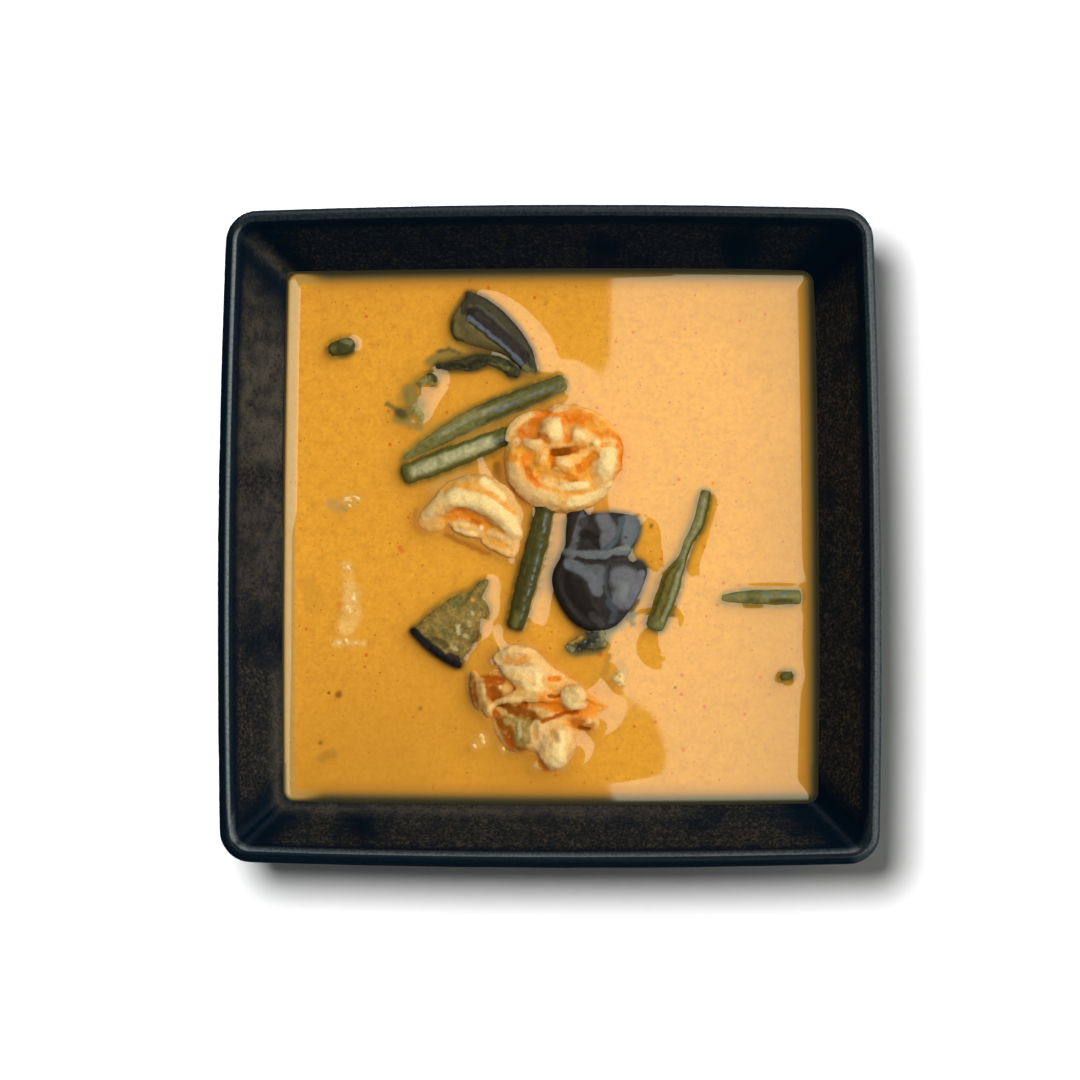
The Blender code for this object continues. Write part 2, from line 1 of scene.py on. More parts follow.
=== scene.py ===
"""Looks of a red shrimp curry in a square stoneware bowl.

Lengths named in mm are millimetres; food heights are measured from the curry's level.
"""
import math

import bmesh
import bpy
import numpy as np
from mathutils import Matrix, Vector, noise
from mathutils.bvhtree import BVHTree


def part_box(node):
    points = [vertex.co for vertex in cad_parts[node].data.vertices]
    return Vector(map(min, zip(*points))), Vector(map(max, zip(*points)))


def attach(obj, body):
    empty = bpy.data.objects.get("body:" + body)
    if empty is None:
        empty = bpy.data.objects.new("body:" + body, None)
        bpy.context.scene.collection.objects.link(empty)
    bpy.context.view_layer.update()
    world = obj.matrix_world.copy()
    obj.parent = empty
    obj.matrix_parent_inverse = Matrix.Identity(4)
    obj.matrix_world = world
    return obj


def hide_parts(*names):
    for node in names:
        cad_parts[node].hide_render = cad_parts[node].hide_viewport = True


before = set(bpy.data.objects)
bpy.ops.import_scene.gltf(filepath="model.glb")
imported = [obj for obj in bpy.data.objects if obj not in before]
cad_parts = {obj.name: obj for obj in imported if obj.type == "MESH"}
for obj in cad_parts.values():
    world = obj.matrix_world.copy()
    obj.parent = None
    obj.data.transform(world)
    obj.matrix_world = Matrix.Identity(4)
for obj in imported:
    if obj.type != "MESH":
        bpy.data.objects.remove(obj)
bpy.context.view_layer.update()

MM = 0.001

# ---- sizes in mm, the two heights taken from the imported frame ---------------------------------
def top_mm(node):
    """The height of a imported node's highest point."""
    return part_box(node)[1][2] / MM


BOWL_HEIGHT = top_mm("bowl")
CURRY_LEVEL = top_mm("curry")
RIM_HALF = 101.0             # from the middle to the widest place of the rim
RIM_RADIUS = 2.2
CURRY_HALF = 82.2            # from the middle to the wall at the curry's level
WALL_SLOPE = 1.07            # rise of the inner wall over its run
FLOOR_LEVEL = 8.0            # of the bowl's inside
FOOT_HALF = 62.0
FOOT_WIDTH = 7.0
FOOT_HEIGHT = 4.0
FOOT_RECESS = 2.5
SIDE_BOW = 1.4               # how far the rim's sides bow outwards
CURRY_BOW = 0.7              # the same at the curry's level
CURRY_CORNER = 3.6           # radius in plan of the wall's corners there
PLAN_TAPER = 0.008           # how much narrower the far side is than the middle, as a share

# ---- the camera, as it stood over the bowl ---------------------------------------------------
PHOTO_WIDTH = 1080
FOCAL_PIXELS = 2301.0
CAMERA_DISTANCE = 0.7                      # from the rim's plane
CAMERA_LEAN = (1.6, -1.1)                  # degrees, towards +X and +Y
AIM = Vector((-2.56, -1.4, 49.8)) * MM     # the rim-plane point in the middle of the frame


def camera_place():
    lean = Vector((*(math.tan(math.radians(angle)) for angle in CAMERA_LEAN), 1))
    return AIM + lean * CAMERA_DISTANCE


def add_camera():
    data = bpy.data.cameras.new("camera")
    data.sensor_width = 36.0
    data.lens = data.sensor_width * FOCAL_PIXELS / PHOTO_WIDTH
    camera = bpy.data.objects.new("camera", data)
    camera.location = camera_place()
    back = (camera.location - AIM).normalized()
    right = Vector((0, 1, 0)).cross(back).normalized()
    up = back.cross(right)
    camera.rotation_euler = Matrix((right, up, back)).transposed().to_euler()
    bpy.context.scene.collection.objects.link(camera)
    bpy.context.scene.camera = camera


# ---- small tools -----------------------------------------------------------------------------
def place(point):
    """A point in mm, its height from the curry's level, in metres."""
    return Vector((point[0], point[1], CURRY_LEVEL + point[2])) * MM


def add_piece(name, mesh, finish, slot, *nodes):
    piece = bpy.data.objects.new(name, mesh)
    bpy.context.scene.collection.objects.link(piece)
    mesh.materials.clear()
    mesh.materials.append(finish)
    mesh.shade_smooth()
    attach(piece, "root")
    if nodes:
        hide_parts(*nodes)
    return piece


def mesh_from(name, build):
    bm = bmesh.new()
    build(bm)
    mesh = bpy.data.meshes.new(name)
    bm.to_mesh(mesh)
    bm.free()
    return mesh


def grid_mesh(name, points, faces):
    mesh = bpy.data.meshes.new(name)
    mesh.from_pydata([tuple(p) for p in points], [], faces)
    mesh.update()
    return mesh


def vertices(mesh):
    """Vertex places in mm, heights from the curry's level."""
    flat = np.empty(len(mesh.vertices) * 3, dtype=np.float32)
    mesh.vertices.foreach_get("co", flat)
    places = flat.reshape(-1, 3).astype(float) / MM
    places[:, 2] -= CURRY_LEVEL
    return places


def move_vertices(mesh, places):
    flat = places.copy()
    flat[:, 2] += CURRY_LEVEL
    mesh.vertices.foreach_set("co", (flat * MM).astype(np.float32).ravel())
    mesh.update()


def normals(mesh):
    flat = np.empty(len(mesh.vertices) * 3, dtype=np.float32)
    mesh.vertices.foreach_get("normal", flat)
    return flat.reshape(-1, 3).astype(float)


def paint(mesh, colours, name="tint"):
    """Stores a linear colour per vertex for the material to read."""
    layer = mesh.color_attributes.new(name, "FLOAT_COLOR", "POINT")
    rgba = np.ones((len(colours), 4), dtype=np.float32)
    rgba[:, :3] = colours
    layer.data.foreach_set("color", rgba.ravel())


def srgb(red, green, blue):
    """An sRGB colour, 0 to 255, as linear values."""
    value = np.array((red, green, blue)) / 255.0
    return np.where(value <= 0.04045, value / 12.92, ((value + 0.055) / 1.055) ** 2.4)


def smooth_step(value, low, high):
    t = np.clip((value - low) / (high - low), 0.0, 1.0)
    return t * t * (3 - 2 * t)


def mix(colours, other, share):
    """Blends an (n, 3) array towards a colour by a per-point share."""
    share = np.asarray(share)[:, None]
    return colours * (1 - share) + np.asarray(other) * share


def ripple(places, size, seed=0.0):
    """Smooth noise from -1 to 1 with features of about size mm."""
    shift = Vector((seed * 7.3, seed * 3.1, seed * 5.7))
    return np.array([noise.noise(Vector(p) / size + shift) for p in places])


def pairs(row):
    """Plan points from a row of numbers: x, y, x, y and so on."""
    return list(zip(row[::2], row[1::2]))


def distance_to_line(places, line):
    """Distance in plan from each place to a line of (x, y) points, in mm; one point is a spot."""
    ends = list(zip(line, line[1:])) or [(line[0], line[0])]
    best = np.full(len(places), 1e9)
    for start, end in ends:
        start, span = np.array(start), np.array(end) - np.array(start)
        offset = places[:, :2] - start
        share = np.clip(offset @ span / max(span @ span, 1e-9), 0, 1)
        best = np.minimum(best, np.linalg.norm(offset - share[:, None] * span, axis=1))
    return best


def neighbour_mean(mesh, values, rounds):
    """Averages per-vertex values over mesh neighbours, repeatedly."""
    edges = np.empty(len(mesh.edges) * 2, dtype=np.int32)
    mesh.edges.foreach_get("vertices", edges)
    a, b = edges.reshape(-1, 2).T
    values = np.asarray(values, dtype=float)
    count = np.bincount(a, minlength=len(values)) + np.bincount(b, minlength=len(values))
    flat = values.reshape(len(values), -1)
    for _ in range(rounds):
        total = np.zeros_like(flat)
        for column in range(flat.shape[1]):
            total[:, column] = (np.bincount(a, flat[b, column], len(flat))
                                + np.bincount(b, flat[a, column], len(flat)))
        flat = 0.5 * flat + 0.5 * total / np.maximum(count, 1)[:, None]
    return flat.reshape(values.shape)


def bulge(mesh, rounds):
    """How far each vertex stands proud of its smoothed surroundings, in mm."""
    places = vertices(mesh)
    return np.einsum("ij,ij->i", places - neighbour_mean(mesh, places, rounds), normals(mesh))


# ---- shader tools ----------------------------------------------------------------------------
class Nodes:
    """A short way to write node trees: nodes are made and linked in one call."""

    def __init__(self, owner):
        owner.use_nodes = True
        self.material = owner
        self.tree = owner.node_tree
        self.shader = self.tree.nodes.get("Principled BSDF")

    def set(self, **values):
        for name, value in values.items():
            self.shader.inputs[name.replace("_", " ")].default_value = value

    def link(self, source, target):
        self.tree.links.new(source, target)

    def feed(self, node, key, value):
        """Links a socket to an input, or sets the input to a value."""
        if isinstance(value, bpy.types.NodeSocket):
            self.link(value, node.inputs[key])
        else:
            node.inputs[key].default_value = value

    def add(self, kind, inputs=None, **settings):
        node = self.tree.nodes.new(kind)
        for name, value in settings.items():
            setattr(node, name, value)
        for key, value in (inputs or {}).items():
            self.feed(node, key, value)
        return node

    def place(self):
        return self.add("ShaderNodeTexCoord").outputs["Object"]

    def tint(self, name="tint"):
        return self.add("ShaderNodeAttribute", attribute_name=name).outputs["Color"]

    def noise(self, scale, detail=2.0, rough=0.5, vector=None):
        return self.add("ShaderNodeTexNoise", {"Vector": vector or self.place(), "Scale": scale,
                                               "Detail": detail, "Roughness": rough}).outputs["Fac"]

    def ramp(self, value, low, high, start=0.0, end=1.0):
        return self.add("ShaderNodeMapRange", {"Value": value, "From Min": low, "From Max": high,
                                               "To Min": start, "To Max": end},
                        clamp=True, interpolation_type="SMOOTHSTEP").outputs["Result"]

    def math(self, operation, first, second=0.0):
        return self.add("ShaderNodeMath", {0: first, 1: second}, operation=operation).outputs[0]

    def blend(self, factor, first, second, kind="MIX"):
        node = self.add("ShaderNodeMix", {0: factor}, data_type="RGBA", blend_type=kind)
        for index, value in ((6, first), (7, second)):
            self.feed(node, index, value if isinstance(value, bpy.types.NodeSocket) else (*value, 1.0))
        return node.outputs[2]

    def colour(self, socket):
        self.link(socket, self.shader.inputs["Base Color"])

    def roughness(self, socket):
        self.link(socket, self.shader.inputs["Roughness"])

    def specular(self, socket):
        self.link(socket, self.shader.inputs["Specular IOR Level"])

    def bump(self, height, distance, strength=1.0):
        node = self.add("ShaderNodeBump", {"Height": height, "Distance": distance,
                                           "Strength": strength})
        self.link(node.outputs["Normal"], self.shader.inputs["Normal"])

    def dots(self, cell, size, share, vector=None):
        """Round spots: about one in each cell mm, radius size mm, in this share of the cells."""
        cells = self.add("ShaderNodeTexVoronoi", {"Vector": vector or self.place(),
                                                  "Scale": 1000.0 / cell}, feature="F1")
        spot = self.ramp(cells.outputs["Distance"], size / cell, 0.6 * size / cell)
        chance = self.add("ShaderNodeSeparateColor", {"Color": cells.outputs["Color"]}).outputs[0]
        return self.math("MULTIPLY", spot, self.math("LESS_THAN", chance, share))


# ---- bowl ------------------------------------------------------------------------------------
SIDE_STEPS = 64
CORNER_STEPS = 9


def inner_half(height):
    return CURRY_HALF + (height - CURRY_LEVEL) / WALL_SLOPE


def square_ring(half, height, corner, bow):
    """Points of a rounded square whose sides bow outwards, in mm, anticlockwise from +X."""
    straight = half - bow - corner
    side = []
    for step in range(SIDE_STEPS):
        along = -straight + 2 * straight * step / SIDE_STEPS
        side.append((half - bow * (along / straight) ** 2, along))
    for step in range(CORNER_STEPS):
        angle = math.pi / 2 * step / CORNER_STEPS
        side.append((straight + corner * math.cos(angle), straight + corner * math.sin(angle)))
    side = np.array(side)
    ring = np.vstack([side, side[:, ::-1] * (-1, 1), -side, side[:, ::-1] * (1, -1)])
    ring[:, 0] *= 1 - PLAN_TAPER * ring[:, 1] / RIM_HALF
    return np.column_stack([ring, np.full(len(ring), height)])


def arc_stations(centre, radius, start, end, count, corner, bow):
    """Profile stations along an arc; centre is (half, height) and corner the plan radius there."""
    stations = []
    for degrees in np.linspace(start, end, count):
        angle = math.radians(degrees)
        out = radius * math.cos(angle)
        stations.append((centre[0] + out, centre[1] + radius * math.sin(angle), corner + out, bow))
    return stations


def line_stations(first, last, count):
    return [tuple(row) for row in np.linspace(first, last, count, endpoint=False)]


def bowl_stations():
    """The profile from the inner floor over the rim and down to the recess under the foot."""
    floor = [(6.0, FLOOR_LEVEL, 3.0, 0.05), (30.0, FLOOR_LEVEL, 8.0, 0.2), (45.0, FLOOR_LEVEL, 8.0, 0.3),
             (53.0, FLOOR_LEVEL + 0.3, 7.0, 0.3), (58.0, FLOOR_LEVEL + 2.0, 6.0, 0.3)]
    foot_wall = (inner_half(13.5), 13.5, 5.0, 0.4)
    level = (CURRY_HALF, CURRY_LEVEL, CURRY_CORNER, CURRY_BOW)
    under_rim = (inner_half(43.0), 43.0, 4.4, 1.1)
    middle = BOWL_HEIGHT - RIM_RADIUS
    rim = arc_stations((RIM_HALF - RIM_RADIUS, middle), RIM_RADIUS, 138, -25, 16, 7.5, SIDE_BOW)
    shoulder = (92.5, 38.0, 10.5, 1.1)
    belly = (78.5, 20.0, 11.0, 0.7)
    heel = (68.5, 7.5, 11.5, 0.4)
    foot = [(FOOT_HALF + 2.2, FOOT_HEIGHT + 0.6, 11.2, 0.3),
            (FOOT_HALF + 0.9, FOOT_HEIGHT - 0.6, 10.9, 0.3)]
    foot += arc_stations((FOOT_HALF - 1.0, 1.0), 1.0, 0, -90, 6, 10.0, 0.3)
    foot += arc_stations((FOOT_HALF - FOOT_WIDTH + 0.8, 0.8), 0.8, -90, -180, 5, 8.0, 0.3)
    foot += [(FOOT_HALF - FOOT_WIDTH - 1.5, FOOT_RECESS, 7.0, 0.3), (30.0, FOOT_RECESS, 6.0, 0.2),
             (5.0, FOOT_RECESS, 2.5, 0.05)]
    wall = (line_stations(foot_wall, level, 9) + line_stations(level, under_rim, 6)
            + line_stations(under_rim, rim[0], 5))
    outside = (line_stations(rim[-1], shoulder, 6) + line_stations(shoulder, belly, 8)
               + line_stations(belly, heel, 6) + line_stations(heel, foot[0], 3))
    return floor + wall + rim[:-1] + outside + foot


def brown_zones(points, inside):
    """How far the glaze breaks into brown at each point, and how light that brown is, both 0 to 1."""
    reach = np.abs(points[:, :2])
    past_mitre = np.abs(reach[:, 0] - reach[:, 1])
    below_rim = 1 - smooth_step(points[:, 2], BOWL_HEIGHT - 3.4, BOWL_HEIGHT - 2.2)
    flat = points * (1, 1, 0.6)
    clouds = smooth_step(ripple(flat, 19.0, 20.0) + 0.5 * ripple(flat, 7.0, 21.0), -0.9, -0.05)
    clouds *= smooth_step(past_mitre, 5.0, 15.0)
    clouds *= below_rim * (1 - 0.6 * smooth_step(points[:, 1], 60, 90))

    # the left wall: wider and lighter brown, partly the glaze's own brown, partly painted light falling
    # from the right
    left = smooth_step(-points[:, 0] - reach[:, 1] * 0.6, 25, 60)
    left *= smooth_step(points[:, 1], -50, 25)
    clouds = np.maximum(clouds, left * smooth_step(past_mitre, 8.0, 15.0) * below_rim)
    rough = ripple(points * (1, 1, 0.5), 5.0, 22.0) + 0.6 * ripple(points, 2.2, 23.0)
    streaks = smooth_step(rough, -0.4, 0.5)
    gap = 1 - np.exp(-((points[:, 1] - 18) / 5) ** 2)
    light = left * (0.35 + 0.65 * streaks) * gap

    # dried curry low on the left and front walls, and a lighter brown band down the mitre in the far left
    # corner
    above = points[:, 2] - CURRY_LEVEL
    ring = inside * smooth_step(above, 0.8, 2.0) * (1 - smooth_step(above, 3.4, 5.0))
    ring *= smooth_step(-points[:, 0] - points[:, 1], 20, 90) * smooth_step(-points[:, 1], 20, 60)
    mitre = np.exp(-(past_mitre / 3.5) ** 2) * smooth_step(points[:, 1] - points[:, 0], 100, 150)
    mitre *= inside * below_rim * (0.6 + 0.4 * streaks)
    clouds = np.maximum.reduce([clouds, 0.8 * ring, 0.9 * mitre])
    light = np.maximum.reduce([light, 0.7 * ring, 0.45 * mitre])
    return clouds, light


def rim_highlight_mask(points, inside):
    """Painted highlight and shine on the rim: a thin line along its inner edge, and a faint band over its
    top.
    """
    drop = BOWL_HEIGHT - points[:, 2]
    lower = drop - 0.5 * smooth_step(-points[:, 1], 82, 98)
    far = smooth_step(points[:, :2].max(axis=1), 90, 96)
    right = smooth_step(points[:, 0], 90, 96)
    line = inside * smooth_step(lower, 0.02, 0.15) * (1 - smooth_step(lower, 0.5, 0.78))
    crest = 1 - smooth_step(drop, np.where(inside, 0.4, 1.4), np.where(inside, 0.75, 2.4))
    return np.maximum(line * (1 - 0.7 * far), crest * (0.04 + 0.2 * far + 0.26 * right * (1 - inside)))


def build_bowl(finish):
    rings = [square_ring(*station) for station in bowl_stations()]
    points = np.vstack(rings)
    mesh = grid_mesh("glazed_bowl", points * MM, ring_faces(len(rings), len(rings[0])))
    face_outwards(mesh)
    # a hand-made surface: slow swells that only ever take clay away, none on the foot
    swell = 0.07 * (ripple(points, 15.0, 1.0) - 1) + 0.03 * (ripple(points, 5.0, 2.0) - 1)
    push(mesh, swell * smooth_step(points[:, 2], 2.0, 10.0))
    inside = np.arange(len(points)) < np.argmax(points[:, 2])
    paint(mesh, np.column_stack([*brown_zones(points, inside), rim_highlight_mask(points, inside)]))
    return add_piece("glazed_bowl", mesh, finish, "navy_glaze", "bowl")


def ring_faces(rows, count):
    """Quads between rows of count points each, and a cap at each end."""
    faces = []
    for row in range(rows - 1):
        for index in range(count):
            follower = (index + 1) % count
            low, high = row * count, (row + 1) * count
            faces.append((low + index, low + follower, high + follower, high + index))
    faces.append(tuple(reversed(range(count))))
    faces.append(tuple(range((rows - 1) * count, rows * count)))
    return faces


def face_outwards(mesh):
    bm = bmesh.new()
    bm.from_mesh(mesh)
    bmesh.ops.recalc_face_normals(bm, faces=bm.faces)
    bm.to_mesh(mesh)
    bm.free()
    mesh.update()


def glaze_material():
    """Near-black navy glaze: the tint's red breaks it into brown, green lightens that, blue is the rim's
    painted highlight and shine.
    """
    n = Nodes(bpy.data.materials.new("navy_glaze"))
    where = n.place()
    zones = n.add("ShaderNodeSeparateColor", {"Color": n.tint()}).outputs
    fine = n.noise(1000.0, 4.0, 0.7, where)
    coarse = n.noise(300.0, 3.0, 0.6, where)
    brown = n.blend(zones[1], srgb(27, 27, 27), srgb(76, 70, 60))
    colour = n.blend(n.math("MULTIPLY", zones[0], n.ramp(coarse, 0.3, 0.6, 0.55, 1.0)),
                     srgb(2, 15, 27), brown)
    mottle = n.math("MULTIPLY", n.ramp(fine, 0.46, 0.66), n.ramp(coarse, 0.35, 0.65, 0.3, 1.0))
    colour = n.blend(n.math("MULTIPLY", mottle, zones[0]), colour, srgb(64, 57, 49))
    dark = n.math("MULTIPLY", n.ramp(fine, 0.48, 0.34), zones[0])
    colour = n.blend(n.math("MULTIPLY", dark, 0.7), colour, srgb(16, 17, 20))
    # painted highlight: the rim's line and band blend towards a lighter grey
    rim_highlight = n.math("MULTIPLY", n.ramp(fine, 0.35, 0.6, 0.4, 1.0), zones[2])
    n.colour(n.blend(rim_highlight, colour, srgb(72, 80, 80)))
    n.roughness(n.math("ADD", n.ramp(n.math("MULTIPLY", fine, zones[0]), 0.2, 0.6, 0.14, 0.34),
                       n.math("MULTIPLY", zones[2], 0.06)))
    n.bump(n.math("ADD", fine, coarse), 0.0001, 0.6)
    n.set(IOR=1.5)
    n.specular(n.ramp(zones[2], 0.0, 1.0, 0.04, 0.58))
    return n.material


# ---- food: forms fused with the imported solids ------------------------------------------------
def lump(centre, radii, turn=0.0):
    """An ellipsoid in mm, turned about +Z, in degrees."""
    def build(bm):
        swing = Matrix.Rotation(math.radians(turn), 4, "Z")
        size = Matrix.Diagonal((*[r * MM for r in radii], 1.0))
        bmesh.ops.create_uvsphere(bm, u_segments=24, v_segments=14, radius=1.0,
                                  matrix=Matrix.Translation(place(centre)) @ swing @ size)
    return build


def spline(a, b, c, d, t):
    return (b * 2 + (c - a) * t + (a * 2 - b * 5 + c * 4 - d) * t * t
            + (b * 3 - a - c * 3 + d) * t * t * t) * 0.5


def smooth_path(rows, per_span):
    """Catmull-Rom rows through the given rows of numbers."""
    rows = [np.array(row, dtype=float) for row in rows]
    ends = [rows[0] * 2 - rows[1], *rows, rows[-1] * 2 - rows[-2]]
    path = [spline(*ends[span:span + 4], step / per_span)
            for span in range(len(rows) - 1) for step in range(per_span)]
    return np.array(path + [rows[-1]])


def strand(points, radii):
    """A round strand through points in mm, a radius at each, with domed ends."""
    def build(bm):
        path = smooth_path([(*p, r) for p, r in zip(points, radii)], 6)
        for row in path:
            bmesh.ops.create_uvsphere(bm, u_segments=16, v_segments=10, radius=row[3] * MM,
                                      matrix=Matrix.Translation(place(row[:3])))
        for near, far in zip(path, path[1:]):
            start, end = place(near[:3]), place(far[:3])
            turn = (end - start).to_track_quat("Z", "Y").to_matrix().to_4x4()
            bmesh.ops.create_cone(bm, segments=16, radius1=near[3] * MM, radius2=far[3] * MM,
                                  depth=(end - start).length, cap_ends=True,
                                  matrix=Matrix.Translation((start + end) / 2) @ turn)
    return build


def fused(name, node, forms, grain, soften):
    """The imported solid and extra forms, fused on a grid of grain mm and softened, as new mesh data."""
    def build(bm):
        if node:
            bm.from_mesh(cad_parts[node].data)
        for form in forms:
            form(bm)
    raw = bpy.data.objects.new(name + "_raw", mesh_from(name + "_raw", build))
    bpy.context.scene.collection.objects.link(raw)
    remesh = raw.modifiers.new("fuse", "REMESH")
    remesh.mode = "VOXEL"
    remesh.voxel_size = grain * MM
    smooth = raw.modifiers.new("soften", "SMOOTH")
    smooth.factor = 0.5
    smooth.iterations = soften
    graph = bpy.context.evaluated_depsgraph_get()
    mesh = bpy.data.meshes.new_from_object(raw.evaluated_get(graph))
    mesh.name = name
    bpy.data.objects.remove(raw, do_unlink=True)
    return mesh


def push(mesh, amount):
    """Moves each vertex along its normal by amount mm."""
    move_vertices(mesh, vertices(mesh) + normals(mesh) * np.asarray(amount)[:, None])


# ---- the tones of the food, all linear -------------------------------------------------------
WHITE = srgb(248, 212, 146)
CREAM = srgb(238, 186, 116)
BLUSH = srgb(222, 170, 100)
TAN = srgb(202, 152, 84)
AMBER = srgb(236, 160, 58)
FLAME = srgb(232, 134, 36)
ORANGE = srgb(224, 116, 12)
DEEP = srgb(200, 104, 24)
RUST = srgb(172, 82, 10)
BROWN = srgb(138, 74, 8)
SMOKE = srgb(162, 126, 66)
SKIN = srgb(30, 25, 23)
DUSK = srgb(48, 44, 42)
OLIVE = srgb(92, 74, 38)
MOSS = srgb(66, 61, 26)
PULP = srgb(132, 106, 52)
PALE_PULP = srgb(176, 158, 108)
SAGE = srgb(132, 126, 84)
SEDGE = srgb(104, 98, 52)
STRAW = srgb(196, 164, 106)
INK = srgb(32, 32, 26)
# MIST: a blue-grey for painted highlights on the beans and painted glints on the basil scrap, and for two
# pale bands on the fifth bean
MIST = srgb(108, 120, 124)


def wandering(places, reach):
    """The places shifted in plan by up to about reach mm, so that what is drawn there looks torn."""
    shift = [0.7 * ripple(places, 2.4, seed) + 0.4 * ripple(places, 0.9, seed + 0.5)
             for seed in (30.0, 31.0)]
    return places + np.column_stack([*shift, np.zeros(len(places))]) * reach


def brush(mesh, colours, strokes, fade=(0.5, 1.4)):
    """Paints soft strokes on the upper side, and pushes it out or in under them.

    A stroke is its half width and push in mm, its strength, its colour, and then its plan points as
    x, y, x, y and so on. Its cover ends between the fade's two shares of the half width.
    """
    places = vertices(mesh)
    facing = smooth_step(normals(mesh)[:, 2], -0.45, 0.0)
    drawn = wandering(places, 0.5)
    move = np.zeros(len(places))
    for width, rise, strength, colour, *row in strokes:
        line = pairs(row)
        path = smooth_path(line, 4) if len(line) > 2 else np.array(line, dtype=float)
        cover = (1 - smooth_step(distance_to_line(drawn, path) / width, *fade)) * facing
        colours = mix(colours, colour, cover * strength)
        move += rise * cover
    push(mesh, move)
    return colours


def shrimp_material():
    n = Nodes(bpy.data.materials.new("shrimp"))
    where = n.place()
    speck = n.ramp(n.noise(1500.0, 3.0, 0.6, where), 0.3, 0.75)
    shade = n.blend(speck, (1.05, 1.06, 1.08), (0.93, 0.86, 0.74))
    n.colour(n.blend(1.0, n.tint(), shade, "MULTIPLY"))
    n.roughness(n.ramp(n.noise(700.0, 2.0, 0.5, where), 0.3, 0.7, 0.3, 0.45))
    n.bump(n.noise(1100.0, 3.0, 0.55, where), 0.0002, 0.6)
    n.set(Subsurface_Weight=0.04, Subsurface_Scale=0.0008, Specular_IOR_Level=0.08, IOR=1.4)
    n.shader.inputs["Subsurface Radius"].default_value = (1.0, 0.5, 0.25)
    return n.material


def wet_material(name, rough, bump_scale, bump_size, contrast, sheen=0.1):
    """A wet vegetable: its tint, broken up at a fine scale, with a quiet shine."""
    n = Nodes(bpy.data.materials.new(name))
    where = n.place()
    grain = n.noise(bump_scale, 4.0, 0.6, where)
    shade = n.blend(n.ramp(grain, 0.3, 0.7), (1 - contrast,) * 3, (1 + contrast,) * 3)
    n.colour(n.blend(1.0, n.tint(), shade, "MULTIPLY"))
    n.roughness(n.ramp(n.noise(bump_scale * 0.4, 2.0, 0.5, where), 0.3, 0.7, rough, rough + 0.12))
    n.bump(grain, bump_size * MM, 0.7)
    n.set(Specular_IOR_Level=sheen, IOR=1.45)
    return n.material


